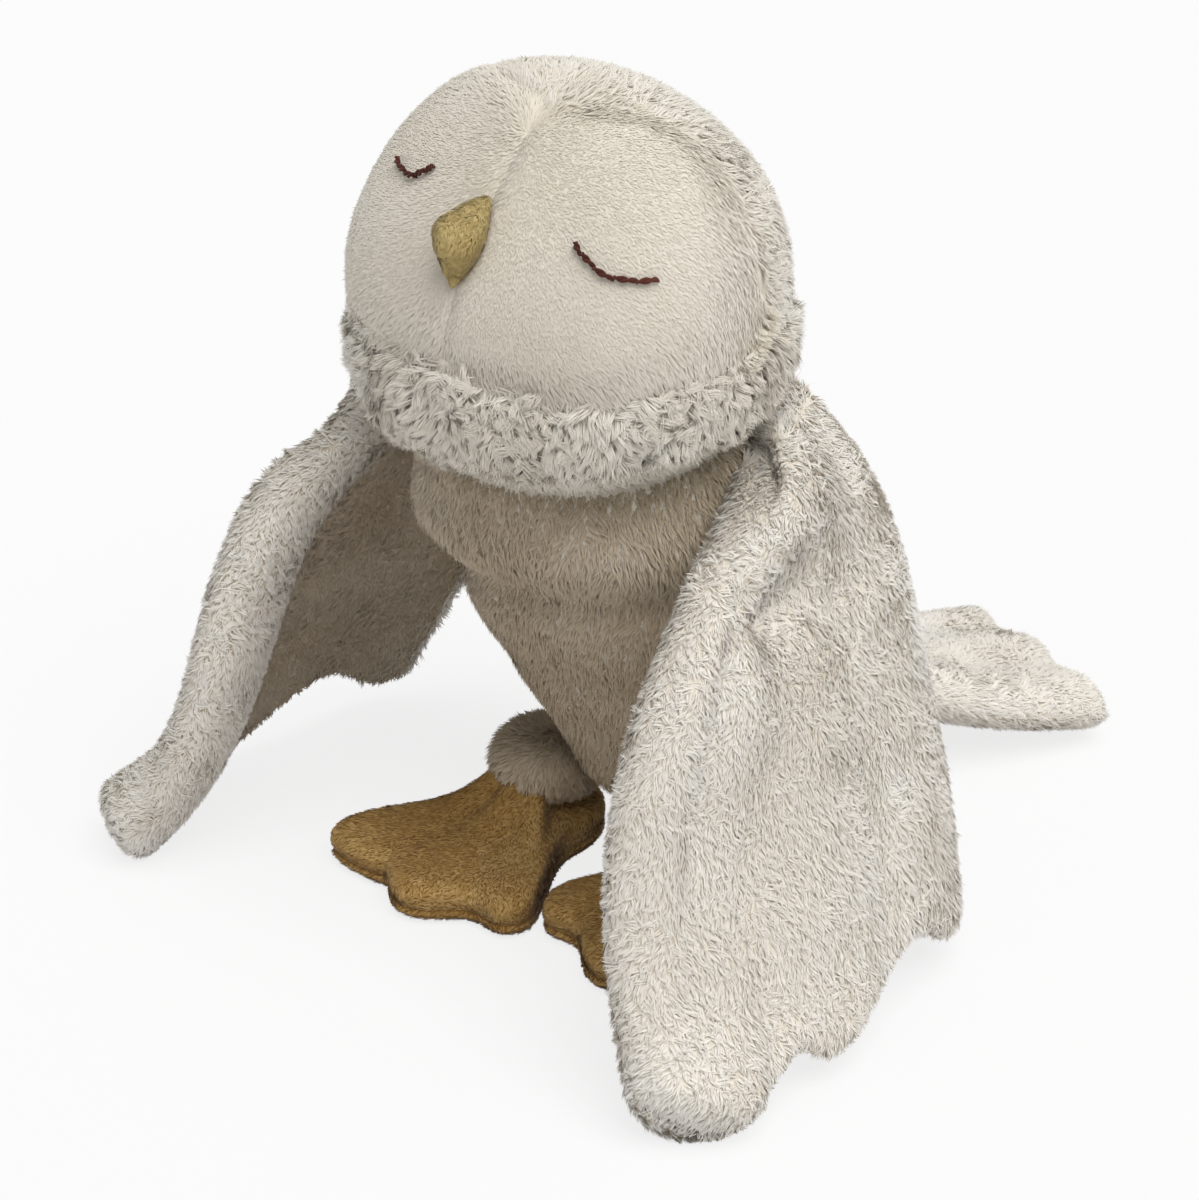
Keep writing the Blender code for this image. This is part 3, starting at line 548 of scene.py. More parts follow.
# A blade's five points as the corners of its quad and its triangle, each corner's height in the map, and how far
# it lies to the side of the blade's tone
BLADE_CORNERS = np.array([0, 1, 2, 3, 3, 2, 4], np.int32)
POLYGON_STARTS = np.array([0, 4], np.int32)
CORNER_HEIGHTS = np.array([0.02, 0.02, 0.55, 0.55, 0.55, 0.55, 0.98])
CORNER_SIDES = np.array([-1, 1, 1, -1, -1, 1, 0]) * 0.004


def blade_object(name, points, tone, facing, finish, body):
    """Blades as one mesh, a quad and a triangle each. Their map holds the tone across and the height along."""
    count, sides = points.shape[:2]
    order = np.arange(count, dtype=np.int32)[:, None]
    mesh = bpy.data.meshes.new(name)
    mesh.vertices.add(count * sides)
    mesh.vertices.foreach_set("co", points.astype(np.float32).ravel())
    mesh.loops.add(count * len(BLADE_CORNERS))
    mesh.loops.foreach_set("vertex_index", (order * sides + BLADE_CORNERS).ravel())
    mesh.polygons.add(count * len(POLYGON_STARTS))
    mesh.polygons.foreach_set("loop_start", (order * len(BLADE_CORNERS) + POLYGON_STARTS).ravel())
    mesh.update(calc_edges=True)
    mesh.shade_smooth()
    layer = mesh.uv_layers.new(name="OFBake", do_init=False)
    across = tone[:, None] + CORNER_SIDES
    spots = np.stack([across, np.broadcast_to(CORNER_HEIGHTS, across.shape)], -1)
    layer.uv.foreach_set("vector", spots.astype(np.float32).ravel())
    mesh.materials.append(finish)
    mesh.normals_split_custom_set_from_vertices(np.repeat(facing, sides, 0).tolist())
    made = placed(name, mesh)
    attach(made, body)


# Finishes


def linear(red, green, blue):
    """A screen colour, 0 to 255, as the linear values that a shader takes."""
    return tuple(((c / 255 + 0.055) / 1.055) ** 2.4 for c in (red, green, blue)) + (1.0,)


def node(tree, kind, **settings):
    """A new node with its settings."""
    made = tree.nodes.new(kind)
    for key, value in settings.items():
        setattr(made, key, value)
    return made


def ramp(tree, value, stops):
    """The colours of a ramp over a value, with its stops at given places."""
    made = node(tree, "ShaderNodeValToRGB")
    elements = made.color_ramp.elements
    while len(elements) < len(stops):
        elements.new(0.5)
    for element, (place, colour) in zip(elements, stops):
        element.position = place
        element.color = colour
    tree.links.new(value, made.inputs[0])
    return made.outputs[0]


def noise(tree, place, scale, detail):
    """The values of a noise texture at a place."""
    made = node(tree, "ShaderNodeTexNoise")
    made.inputs["Scale"].default_value = scale
    made.inputs["Detail"].default_value = detail
    tree.links.new(place, made.inputs["Vector"])
    return made.outputs[0]


def multiply(tree, first, second):
    """One colour times another."""
    mixed = node(tree, "ShaderNodeMix", data_type="RGBA", blend_type="MULTIPLY")
    mixed.inputs[0].default_value = 1.0
    tree.links.new(first, mixed.inputs[6])
    tree.links.new(second, mixed.inputs[7])
    return mixed.outputs[2]


def new_finish(name, roughness, gloss, sheen):
    """A new material, with its tree of nodes and its shader."""
    made = bpy.data.materials.new(name)
    made.use_nodes = True
    shader = made.node_tree.nodes["Principled BSDF"]
    for term, value in (("Roughness", roughness), ("Specular IOR Level", gloss), ("Sheen Weight", sheen)):
        shader.inputs[term].default_value = value
    return made, made.node_tree, shader


def pile_finish(name, dark, middle, pale, root, sheen):
    """Pile: each blade's tone picks its colour from dark to pale, and it is painted darker towards its root:
    painted shade for the depth of the pile.
    """
    made, tree, shader = new_finish(name, 0.75, 0.15, sheen)
    place = node(tree, "ShaderNodeUVMap", uv_map="OFBake").outputs[0]
    split = node(tree, "ShaderNodeSeparateXYZ")
    tree.links.new(place, split.inputs[0])
    tones = ramp(tree, split.outputs[0], [(0.15, linear(*dark)), (0.50, linear(*middle)), (0.85, linear(*pale))])
    # Painted shade: each blade's colour is darkened from its tip down to its root
    shade = (root, root * 0.97, root * 0.92, 1)
    depth = ramp(tree, split.outputs[1], [(0.0, shade), (0.6, (0.97, 0.965, 0.95, 1)), (1.0, WHITE)])
    streak = ramp(tree, noise(tree, place, 60, 2), [(0.30, (0.94, 0.93, 0.91, 1)), (0.70, WHITE)])
    tree.links.new(multiply(tree, multiply(tree, tones, depth), streak), shader.inputs["Base Color"])
    return made


def cloth_finish(name, dark, pale, grain, bump):
    """Backing cloth: two tones in soft patches and a fine knitted grain, in the object's own coordinates."""
    made, tree, shader = new_finish(name, 0.9, 0.1, 0.2)
    place = node(tree, "ShaderNodeTexCoord").outputs["Object"]
    knit = noise(tree, place, grain, 3)
    tones = ramp(tree, noise(tree, place, 45, 6), [(0.35, linear(*dark)), (0.65, linear(*pale))])
    fine = ramp(tree, knit, [(0.35, (0.86, 0.85, 0.82, 1)), (0.65, WHITE)])
    tree.links.new(multiply(tree, tones, fine), shader.inputs["Base Color"])
    raised = node(tree, "ShaderNodeBump")
    raised.inputs["Strength"].default_value = bump
    raised.inputs["Distance"].default_value = 0.0006
    tree.links.new(knit, raised.inputs["Height"])
    tree.links.new(raised.outputs[0], shader.inputs["Normal"])
    return made


eye_thread = cloth_finish("eye_thread_red_brown", (74, 34, 26), (104, 54, 42), 2600, 0.5)

CREAM = ((238, 231, 218), (246, 241, 231), (252, 249, 242))
# The wings' and tail's pile: a paler, cooler copy of the cream plush, painted light
CREAM_PAINTED_PALER = ((240, 235, 226), (247, 243, 236), (252, 250, 245))
# The belly's pile: the cream darkened with painted shade, worn also by the wing linings, the tail's underside and
# the cuffs, which lie in shade
SHADED_CREAM = ((186, 168, 142), (206, 191, 168), (224, 212, 193))
FACE = ((238, 231, 217), (243, 237, 225), (247, 242, 232))
OCHRE = ((166, 127, 70), (200, 162, 98), (232, 202, 146))
OLIVE = ((184, 160, 102), (210, 190, 132), (230, 214, 164))

# The number after each pile's colours is how dark its blades are painted at their roots: painted shade for the
# depth of the pile
cream_pile = pile_finish("cream_pile", *CREAM, 0.90, 0.35)
# The ruff's blades are painted darkest at their roots: painted shade under and between its clumps
ruff_shaded_pile = pile_finish("ruff_shaded_pile", *CREAM, 0.66, 0.30)
# The wings' and tail's pile is painted paler, and darker only a little at its roots: painted light
wing_pile = pile_finish("wing_pile", *CREAM_PAINTED_PALER, 0.95, 0.35)
shaded_belly_pile = pile_finish("shaded_belly_pile", *SHADED_CREAM, 0.82, 0.25)
lining_pile = pile_finish("lining_pile", *SHADED_CREAM, 0.82, 0.25)
face_pile = pile_finish("face_velour_pile", *FACE, 0.95, 0.25)
foot_pile = pile_finish("foot_velour_nap", *OCHRE, 0.78, 0.15)
beak_pile = pile_finish("beak_velour_nap", *OLIVE, 0.80, 0.20)
# The backing cloths are coloured darker than the piles over them: painted shade for the depth of the pile
cream_cloth = cloth_finish("cream_backing_cloth", (226, 218, 203), (238, 232, 220), 900, 0.4)
face_cloth = cloth_finish("face_backing_cloth", (236, 229, 215), (243, 237, 225), 1400, 0.3)
# The lining's backing is darker still, in the belly's tones: painted shade for the linings, the tail's underside
# and the cuffs
shaded_lining_cloth = cloth_finish("lining_backing_cloth_painted_shade", (206, 193, 172), (222, 211, 193), 900, 0.4)
ochre_cloth = cloth_finish("foot_backing_cloth", (128, 92, 46), (158, 120, 66), 1200, 0.4)
olive_cloth = cloth_finish("beak_backing_cloth", (152, 126, 74), (178, 152, 98), 1400, 0.4)


# Forms


def full_side(value, power):
    """A sine or cosine drawn out towards 1, which makes an ellipse squarer the smaller the power is."""
    return np.copysign(np.abs(value) ** power, value)


def upright_ring(x, y, z, half_width, front, back, cheek):
    """A level ring: an ellipse whose front and back halves differ in depth, with a fuller front for a small cheek.
    Its control points lie outside it by what the spline draws in."""
    angle = 2 * np.pi * np.arange(RING_SIDES) / RING_SIDES
    full = 3 / (2 + math.cos(2 * math.pi / RING_SIDES))
    ahead = np.cos(angle) > 0
    power = np.where(ahead, cheek, 1)
    across = full * half_width * full_side(np.sin(angle), power)
    along = full * np.where(ahead, front, back) * full_side(np.cos(angle), power)
    return np.stack([x + across, y - along, np.full(RING_SIDES, z)], 1)


# Height, half width, front and back depth and cheek power, as shares of the head's own sizes
HEAD_RING_SHARES = (
    (-0.90, 0.62, 0.58, 0.62, 0.95),
    (-0.62, 0.86, 0.78, 0.86, 0.86),
    (-0.28, 1.00, 0.87, 0.98, 0.80),
    (0.06, 1.02, 0.83, 1.00, 0.78),
    (0.38, 0.96, 0.68, 0.88, 0.80),
    (0.66, 0.79, 0.44, 0.66, 0.84),
    (0.89, 0.48, 0.26, 0.36, 0.90),
)
HEAD_POLE_SHARES = (-1.05, 1.00)

# Height, half width, front and back reach from the body's axis, share of the hips' shift, cheek power
BODY_RING_SHARES = (
    (0.16, 0.42, 0.10, 0.44, 1.00, 0.90),
    (0.25, 0.64, 0.10, 0.57, 1.00, 0.86),
    (0.38, 0.88, 0.20, 0.65, 0.82, 0.84),
    (0.52, 1.02, 0.29, 0.68, 0.60, 0.84),
    (0.66, 1.04, 0.35, 0.67, 0.36, 0.86),
    (0.78, 1.00, 0.39, 0.61, 0.14, 0.90),
    (0.855, 0.945, 0.480, 0.480, 0.00, 1.00),
    (0.885, 0.915, 0.465, 0.465, 0.00, 1.00),
    (0.955, 0.768, 0.390, 0.390, 0.00, 1.00),
)
BODY_POLE_SHARES = (0.10, 1.02)


def head_form(rows=72, columns=120):
    """The head: a spline surface through level rings, wide at the cheeks."""
    x, y, z = HEAD_MIDDLE
    rings = [
        upright_ring(x, y, z + h * HEAD_RISE, w * HEAD_HALF_WIDTH, f * HEAD_DEPTH, b * HEAD_DEPTH, cheek)
        for h, w, f, b, cheek in HEAD_RING_SHARES
    ]
    poles = [HEAD_MIDDLE + UP * share * HEAD_RISE for share in HEAD_POLE_SHARES]
    return ring_surface(rings, *poles, rows, columns)


def body_form(rows=72, columns=120):
    """The body: a spline surface through level rings, which shift to one side towards the hips."""
    rings, middles = [], []
    for height, width, front, back, shift, cheek in BODY_RING_SHARES:
        x, y = shift * HIP_SHIFT, BODY_AXIS_Y + (back - front) / 2 * BODY_DEPTH
        reach = (front + back) / 2 * BODY_DEPTH
        rings.append(upright_ring(x, y, height * BODY_HEIGHT, width * BODY_HALF_WIDTH, reach, reach, cheek))
        middles.append((x, y))
    poles = [np.array([*middles[k], BODY_POLE_SHARES[k] * BODY_HEIGHT]) for k in (0, -1)]
    return ring_surface(rings, *poles, rows, columns)


# Folds of the body: stops of each line as row share, column share and strength, then its depth and width
BODY_FOLDS = (
    (
        ((0.55, -0.22, 0.0), (0.555, -0.12, 1.0), (0.585, 0.02, 1.0), (0.60, 0.11, 1.0), (0.62, 0.22, 0.0)),
        *(-0.0062, 0.012),
    ),
    (
        ((0.45, -0.22, 0.0), (0.455, -0.12, 1.0), (0.49, 0.02, 1.0), (0.51, 0.11, 1.0), (0.54, 0.22, 0.0)),
        *(0.0040, 0.0060),
    ),
    (((0.30, -0.22, 0.0), (0.33, -0.10, 1.0), (0.36, 0.03, 1.0), (0.38, 0.18, 0.0)), 0.0012, 0.006),
    (((0.73, -0.20, 0.0), (0.74, -0.08, 1.0), (0.75, 0.08, 1.0), (0.76, 0.20, 0.0)), 0.0025, 0.008),
)
# The first fold stands out as a roll, where the pile is longer
CHEST_ROLL_Z = 0.120
CHEST_ROLL_WIDTH = 0.012


def reach_by_turn(apart, angles):
    """How far flat points lie from their middle, read in each direction."""
    turn = np.arctan2(apart[:, 1], apart[:, 0])
    order = np.argsort(turn)
    return np.interp(angles, turn[order], np.linalg.norm(apart, axis=1)[order], period=2 * np.pi)


def outline_table(grid, turns=360):
    """A form with level rows as a table: height, middle and radius in each direction, row by row."""
    angles = np.linspace(-np.pi, np.pi, turns)
    heights = grid[:, :, 2].mean(1)
    middles = grid[:, :, :2].mean(1)
    reaches = [reach_by_turn(row - middle, angles) for row, middle in zip(grid[:, :, :2], middles)]
    order = np.argsort(heights)
    return heights[order], middles[order], np.array(reaches)[order], angles


def outside(table, points):
    """How far each point lies outside a form, measured level with it. It is negative inside."""
    heights, middles, reaches, angles = table
    level = np.interp(points[:, 2], heights, np.arange(len(heights)))
    low = np.minimum(level.astype(int), len(heights) - 2)
    part = level - low
    middle = middles[low] * (1 - part)[:, None] + middles[low + 1] * part[:, None]
    apart = points[:, :2] - middle
    turn = (np.arctan2(apart[:, 1], apart[:, 0]) + np.pi) / (2 * np.pi) * (len(angles) - 1)
    left = np.minimum(turn.astype(int), len(angles) - 2)
    reach = between(reaches, low, left, part, turn - left)
    over = np.maximum(points[:, 2] - heights[-1], heights[0] - points[:, 2])
    return np.maximum(np.linalg.norm(apart, axis=1) - reach, over)


head_outline = outline_table(head_form())
body_outline = outline_table(body_form())


# Face


def turned(vector, angle, axis):
    """A vector turned about a unit axis, by the sum of its kept, crossed and axial parts."""
    vector, axis = np.asarray(vector, float), np.asarray(axis, float)
    crossed = np.cross(axis, vector)
    return vector * math.cos(angle) + crossed * math.sin(angle) + axis * (axis @ vector) * (1 - math.cos(angle))


FACE_OUT = turned(turned([0, -1, 0], -FACE_PITCH, [1, 0, 0]), FACE_TURN, UP)
FACE_SIDE = turned(turned([1, 0, 0], FACE_TURN, UP), -FACE_LEAN, FACE_OUT)
FACE_UP = np.cross(FACE_OUT, FACE_SIDE)

# Across the face: place, rise of its upper edge and of its lower edge, as shares of the head's half width
FACE_STATION_SHARES = (
    (0.00, 0.455, -0.690),
    (0.27, 0.515, -0.682),
    (0.47, 0.597, -0.656),
    (0.62, 0.588, -0.606),
    (0.77, 0.500, -0.515),
    (0.90, 0.347, -0.386),
    (0.97, 0.167, -0.233),
    (1.045, 0.010, -0.050),
)
FACE_CENTRE = np.array([0.0, -0.10]) * HEAD_HALF_WIDTH


def face_edge(steps=400, turns=361):
    """The face's edge as a reach from its centre in each direction, from a smooth curve by the stations."""
    stations = np.array(FACE_STATION_SHARES) * HEAD_HALF_WIDTH
    upper = stations[:, [0, 1]]
    lower = stations[::-1, [0, 2]]
    half = np.concatenate([upper[1:], lower[:-1]])
    loop = np.concatenate([upper[:1], half, lower[-1:], half[::-1] * np.array([-1, 1])])
    dense = spline_weights(len(loop), np.linspace(0, len(loop), steps, endpoint=False), True) @ loop
    angles = np.linspace(-np.pi, np.pi, turns)
    return angles, reach_by_turn(dense - FACE_CENTRE, angles)


EDGE_ANGLES, EDGE_REACHES = face_edge()


def on_face_plane(points):
    """Places across and up the face's plane, and the depth out of it."""
    apart = points - HEAD_MIDDLE
    return apart @ FACE_SIDE, apart @ FACE_UP, apart @ FACE_OUT


def inside_face(points):
    """How far each point lies inside the face's edge, measured towards its centre."""
    across, rise, depth = on_face_plane(points)
    apart = np.stack([across, rise], 1) - FACE_CENTRE
    reach = np.interp(np.arctan2(apart[:, 1], apart[:, 0]), EDGE_ANGLES, EDGE_REACHES)
    return np.where(depth > 0, reach - np.linalg.norm(apart, axis=1), -HEAD_HALF_WIDTH)


# How often face_point halves the depth
HALVINGS = 32


def face_point(across, rise, lift=0.0):
    """The point of the head over a place on the face's plane, found by halving the depth again and again."""
    across, rise = np.atleast_1d(across).ravel(), np.atleast_1d(rise).ravel()
    flat = HEAD_MIDDLE + across[:, None] * FACE_SIDE + rise[:, None] * FACE_UP
    low = np.zeros(len(flat))
    high = np.full(len(flat), 2 * HEAD_DEPTH)
    for _ in range(HALVINGS):
        depth = (low + high) / 2
        beyond = outside(head_outline, flat + depth[:, None] * FACE_OUT) > -FACE_SUNK
        high = np.where(beyond, depth, high)
        low = np.where(beyond, low, depth)
    return flat + (low[:, None] + np.asarray(lift).reshape(-1, 1)) * FACE_OUT


def face_panel(side, rows=60, columns=80):
    """One side of the face: rows run up it, from the seam out to its edge. It dips at the seam and at its edge, by
    a bell curve of the distance from each."""
    turn = np.linspace(-np.pi / 2, np.pi / 2, columns)
    turn = turn if side > 0 else np.pi - turn
    reach = np.interp((turn + np.pi) % (2 * np.pi) - np.pi, EDGE_ANGLES, EDGE_REACHES)
    rim = np.stack([np.cos(turn), np.sin(turn)], 1) * reach[:, None] + FACE_CENTRE
    rim[[0, -1], 0] = 0
    seam = np.stack([np.zeros(columns), rim[:, 1]], 1)
    share = np.sin(np.linspace(0, 1, rows) * np.pi / 2)
    flat = seam[None] + (rim - seam)[None] * share[:, None, None]
    across, rise = flat[..., 0].ravel(), flat[..., 1].ravel()
    points = face_point(across, rise, -VELOUR_INSET)
    from_edge = np.maximum(inside_face(points), 0)
    dip = SEAM_DEPTH * np.exp(-((across / SEAM_HALF_WIDTH) ** 2))
    dip += RIM_DEPTH * np.exp(-((from_edge / RIM_WIDTH) ** 2))
    points = points - dip[:, None] * FACE_OUT
    return points.reshape(rows, columns, 3)


# Pillows: the wings and the tail

# The share of a pillow's length over which its end is rounded
END_ROUNDING = 0.085


def pillow_surface(rings, rows, columns):
    """A closed spline surface round flat rings, each of one side's columns and then the other's, backwards. Its
    first and last rows close side to side. Towards the last row the two sides draw together as a circle does: by
    the root of one less the square of the share of the rounding that is passed."""
    rings = np.asarray(rings)
    along = spline_weights(len(rings), np.linspace(0, len(rings) - 1, rows), False)
    around = spline_weights(rings.shape[1], np.arange(columns) * rings.shape[1] / columns, True)
    grid = np.einsum("rc,csk,ms->rmk", along, rings, around)
    facing = -np.arange(columns) % columns
    share = np.linspace(0, 1, rows)
    over = np.maximum((share - 1) / END_ROUNDING + 1, 0)
    thick = np.sqrt(np.maximum(1 - over**2, 0)) * (share > 0)
    middle = (grid + grid[:, facing]) / 2
    return middle + (grid - middle) * thick[:, None, None]


# Down the wing, as shares of its sizes: middle of the front roll, rear edge, camber and thickness
WING_ROW_SHARES = (
    ((0.46, 0.86, 1.00), (0.34, 1.06, 1.075), 0.2, 0.95),
    ((0.62, 0.64, 0.945), (0.51, 1.17, 0.91), 0.5, 1.15),
    ((0.755, 0.33, 0.80), (0.60, 1.25, 0.71), 0.8, 1.28),
    ((0.73, 0.185, 0.51), (0.76, 1.22, 0.48), 0.9, 1.12),
    ((0.815, 0.15, 0.25), (0.93, 1.14, 0.25), 1.0, 1.03),
    ((0.965, 0.065, 0.105), (1.03, 1.06, 0.08), 0.9, 1.25),
    ((1.06, -0.005, 0.050), (1.09, 1.02, -0.01), 0.7, 1.35),
)
# Across the wing from the roll's middle: place, how far down the wing it reaches, outer and inner thickness
WING_COLUMN_SHARES = (
    (-0.165, 0.86, 0.0, 0.0),
    (-0.115, 0.97, 0.95, 0.8),
    (0.03, 1.13, 1.10, 1.1),
    (0.15, 1.19, 0.66, 0.6),
    (0.27, 0.93, 0.38, 0.3),
    (0.43, 1.20, 0.50, 0.4),
    (0.70, 0.80, 0.42, 0.3),
    (0.88, 1.00, 0.62, 0.5),
    (1.02, 0.86, 0.0, 0.0),
)
WING_SLOPE_STEP = 0.10
THINNEST_HALF = 0.0012


def wing_guide(share):
    """Roll, rear edge, camber and thickness at a share of the way down the wing."""
    rows = len(WING_ROW_SHARES) - 1
    low = min(int(share * rows), rows - 1)
    part = share * rows - low
    upper, lower = WING_ROW_SHARES[low], WING_ROW_SHARES[low + 1]
    edges = []
    for k in range(2):
        x, y, z = np.array(upper[k]) * (1 - part) + np.array(lower[k]) * part
        edges.append(np.array([x * WING_TIP_X, WING_TIP_Y + y * WING_DEPTH, z * WING_HEIGHT]))
    camber = (upper[2] + (lower[2] - upper[2]) * part) * WING_CAMBER
    thickness = (upper[3] + (lower[3] - upper[3]) * part) * WING_ROLL
    return edges[0], edges[1], camber, thickness


def wing_point(down, across):
    """A point of the wing's middle surface, with the wing's outward direction and thickness there."""
    front, rear, camber, thickness = wing_guide(down)
    chord = rear - front
    above = wing_guide(max(down - WING_SLOPE_STEP, 0))
    below = wing_guide(min(down + WING_SLOPE_STEP, 1))
    fall = (below[0] - above[0]) * (1 - across) + (below[1] - above[1]) * across
    outward = unit(np.cross(chord, fall))
    outward = -outward if outward[0] < 0 else outward
    bulge = max(4 * across * (1 - across), 0)
    return front + chord * across + outward * (camber * bulge), outward, thickness, np.linalg.norm(chord)


def wing_form(side, inset, rows=90, columns=120):
    """A wing with its edges and faces drawn in by a distance: the stuffed roll in front, the flat blade behind."""
    rings = []
    last = len(WING_ROW_SHARES) - 1
    middle = (WING_COLUMN_SHARES[0][0] + WING_COLUMN_SHARES[-1][0]) / 2
    for row in range(last + 1):
        outer, inner = [], []
        for across, reach, out_share, in_share in WING_COLUMN_SHARES:
            down = row / last * reach * (1 - inset / WING_HEIGHT)
            chord = wing_point(down, across)[3]
            place, outward, thickness, _ = wing_point(down, across + np.sign(middle - across) * inset / chord)
            for line, share, way in ((outer, out_share, 1), (inner, in_share, -1)):
                half = max(share * thickness - inset, THINNEST_HALF) if share else 0
                line.append(place + outward * way * half)
        rings.append(np.array(outer + inner[-2:0:-1]) * np.array([side, 1, 1]))
    return pillow_surface(rings, rows, columns)


# Along the tail: place, half width, half thickness, height of its middle
TAIL_ROW_SHARES = (
    (-0.22, 0.42, 0.80, 1.08),
    (0.14, 0.50, 0.99, 0.98),
    (0.46, 0.72, 0.70, 0.55),
    (0.80, 0.92, 0.72, 0.33),
    (1.10, 0.98, 0.74, 0.22),
)
# Across the tail: place, reach along it, thickness
TAIL_COLUMN_SHARES = (
    (-1.00, 0.90, 0.0),
    (-0.68, 1.00, 0.95),
    (-0.34, 0.91, 0.72),
    (0.00, 1.01, 1.0),
    (0.34, 0.91, 0.72),
    (0.68, 1.00, 0.95),
    (1.00, 0.90, 0.0),
)


def tail_form(inset, rows=70, columns=96):
    """The tail with its edges and faces drawn in by a distance: three soft ribs that widen to its end."""
    rings = []
    for along, width, thick, height in TAIL_ROW_SHARES:
        upper, lower = [], []
        for across, reach, full in TAIL_COLUMN_SHARES:
            far = (along * reach if along > 0 else along) * (1 - inset / TAIL_LENGTH)
            sideways = across * (width * TAIL_HALF_WIDTH - inset)
            half = max(full * thick * TAIL_HALF_THICKNESS - inset, THINNEST_HALF) if full else 0
            middle = np.array([sideways, far * TAIL_LENGTH, (height - 1) * TAIL_ROOT[2]])
            upper.append(turned(middle, TAIL_TURN, UP) + TAIL_ROOT + UP * half)
            lower.append(turned(middle, TAIL_TURN, UP) + TAIL_ROOT - UP * half)
        rings.append(np.array(upper + lower[-2:0:-1]))
    return pillow_surface(rings, rows, columns)


# Feet, cuffs, ruff and beak

# Round the webbed foot from its middle toe outwards: turn as a share of half a turn, reach as a share of the toe's
FOOT_OUTLINE_SHARES = (
    *((0.000, 1.00), (0.040, 0.96), (0.072, 0.91), (0.110, 0.95), (0.160, 1.01), (0.195, 1.03)),
    *((0.218, 0.94), (0.232, 0.71), (0.255, 0.46), (0.330, 0.31), (0.500, 0.26), (0.750, 0.25)),
    *((1.000, 0.24), (1.250, 0.26), (1.500, 0.26), (1.670, 0.30), (1.750, 0.43), (1.778, 0.63)),
    *((1.795, 0.83), (1.817, 0.92), (1.850, 0.94), (1.885, 0.89), (1.920, 0.89), (1.960, 0.96)),
)
# Up the foot's sole and then its top, from the ground: size of the outline, height as a share of the toe's.
# An end is given twice where the surface has to reach it
SOLE_RISE_SHARES = (
    *((0.0, 0.0), (0.0, 0.0), (0.30, 0.0), (0.80, 0.0), (0.92, 0.01)),
    *((0.975, 0.10), (1.0, 0.28), (0.985, 0.40), (0.985, 0.40)),
)
TOP_RISE_SHARES = (
    *((0.985, 0.40), (0.985, 0.40), (1.0, 0.54), (1.0, 0.84), (0.97, 1.06), (0.88, 1.16)),
    *((0.66, 1.22), (0.44, 1.42), (0.30, 1.95), (0.22, 2.35), (0.0, 2.45), (0.0, 2.45)),
)


def ankle_place(side):
    """Where the leg meets the foot. The left foot stands a step back."""
    back = LEFT_STEP_BACK if side > 0 else 0
    return np.array([HIP_SHIFT + side * ANKLE_SPREAD, ANKLE_Y + back, ANKLE_HEIGHT])


def smooth_loop(values, count):
    """Values read evenly round a closed loop, by a curve that passes through each of them: a spline whose control
    points are solved for."""
    values = np.asarray(values, float)
    through = spline_weights(len(values), np.arange(len(values)), True)
    weights = spline_weights(len(values), np.arange(count) * len(values) / count, True)
    return weights @ np.linalg.solve(through, values)


def foot_form(side, shares, inset, rows=32, columns=144):
    """The foot: outlines one over another, each a share of the full one and drawn in by a distance. The outline is
    a smooth loop, and the sizes and heights are a spline through the shares."""
    outline = np.array(FOOT_OUTLINE_SHARES)
    around = np.stack([np.sin(np.pi * outline[:, 0]), -np.cos(np.pi * outline[:, 0])], 1)
    loop = smooth_loop(around * outline[:, 1:] * TOE_REACH, columns)
    reach = np.linalg.norm(loop, axis=1, keepdims=True)
    sizes = spline_weights(len(shares), np.linspace(0, len(shares) - 1, rows), False) @ np.array(shares)
    level = loop * (1 - inset / np.maximum(reach, inset))
    flat = sizes[:, 0, None, None] * level[None]
    height = np.repeat(sizes[:, 1:] * TOE_THICKNESS, columns, 1)
    ankle = ankle_place(side)
    return np.stack([ankle[0] + side * flat[..., 0], ankle[1] + flat[..., 1], height], -1)


def barrel_form(place, half_width, half_height, rows=28, columns=48):
    """A round barrel: circles about the upright axis, whose radius is a cosine to a small power, which makes the
    side full."""
    rise = np.linspace(-np.pi / 2, np.pi / 2, rows)[:, None]
    turn = np.arange(columns)[None] * 2 * np.pi / columns
    radius = np.maximum(np.cos(rise), 0) ** BARREL_POWER
    shape = np.stack([radius * np.cos(turn), radius * np.sin(turn), np.sin(rise) + 0 * turn], -1)
    return place + shape * np.array([half_width, half_width, half_height])


RUFF_RINGS = 11
RUFF_SIDES = 8


def ruff_form(inset):
    """A roll along the lower face from ear to ear: ovals along an arc, which thin towards both ends by a cosine to
    a small power."""
    share = np.linspace(-1, 1, RUFF_RINGS)
    turn = RUFF_SPAN * share
    taper = np.cos(share * np.pi / 2 * RUFF_TAPER_REACH) ** RUFF_TAPER_POWER
    depth = np.where(np.cos(turn) > 0, RUFF_FRONT_SHARE, RUFF_BACK_SHARE) * HEAD_DEPTH
    outward = np.stack([np.sin(turn), -np.cos(turn), 0 * turn], 1)
    across = RUFF_SIDE_SHARE * HEAD_HALF_WIDTH * np.sin(turn)
    height = RUFF_FRONT_Z + RUFF_END_RISE * (1 - np.cos(turn))
    middle = np.stack([across, HEAD_MIDDLE[1] - depth * np.cos(turn), height], 1)
    angle = 2 * np.pi * np.arange(RUFF_SIDES) / RUFF_SIDES
    wide = (taper * RUFF_HALF_DEPTH)[:, None, None] * np.cos(angle)[None, :, None] * outward[:, None]
    tall = (taper * RUFF_HALF_HEIGHT)[:, None, None] * np.sin(angle)[None, :, None] * UP
    rings = middle[:, None] + wide + tall
    grid = ring_surface(rings, rings[0].mean(0), rings[-1].mean(0), rows=120, columns=48)
    return shrunk(grid, inset, by_ring=True)


# Down the beak from its top: place along it, half width, reach
BEAK_RING_SHARES = (
    (0.10, 0.34, 0.26),
    (0.30, 0.74, 0.80),
    (0.52, 1.04, 1.05),
    (0.74, 0.80, 0.88),
    (0.90, 0.36, 0.38),
)
BEAK_SIDES = 8
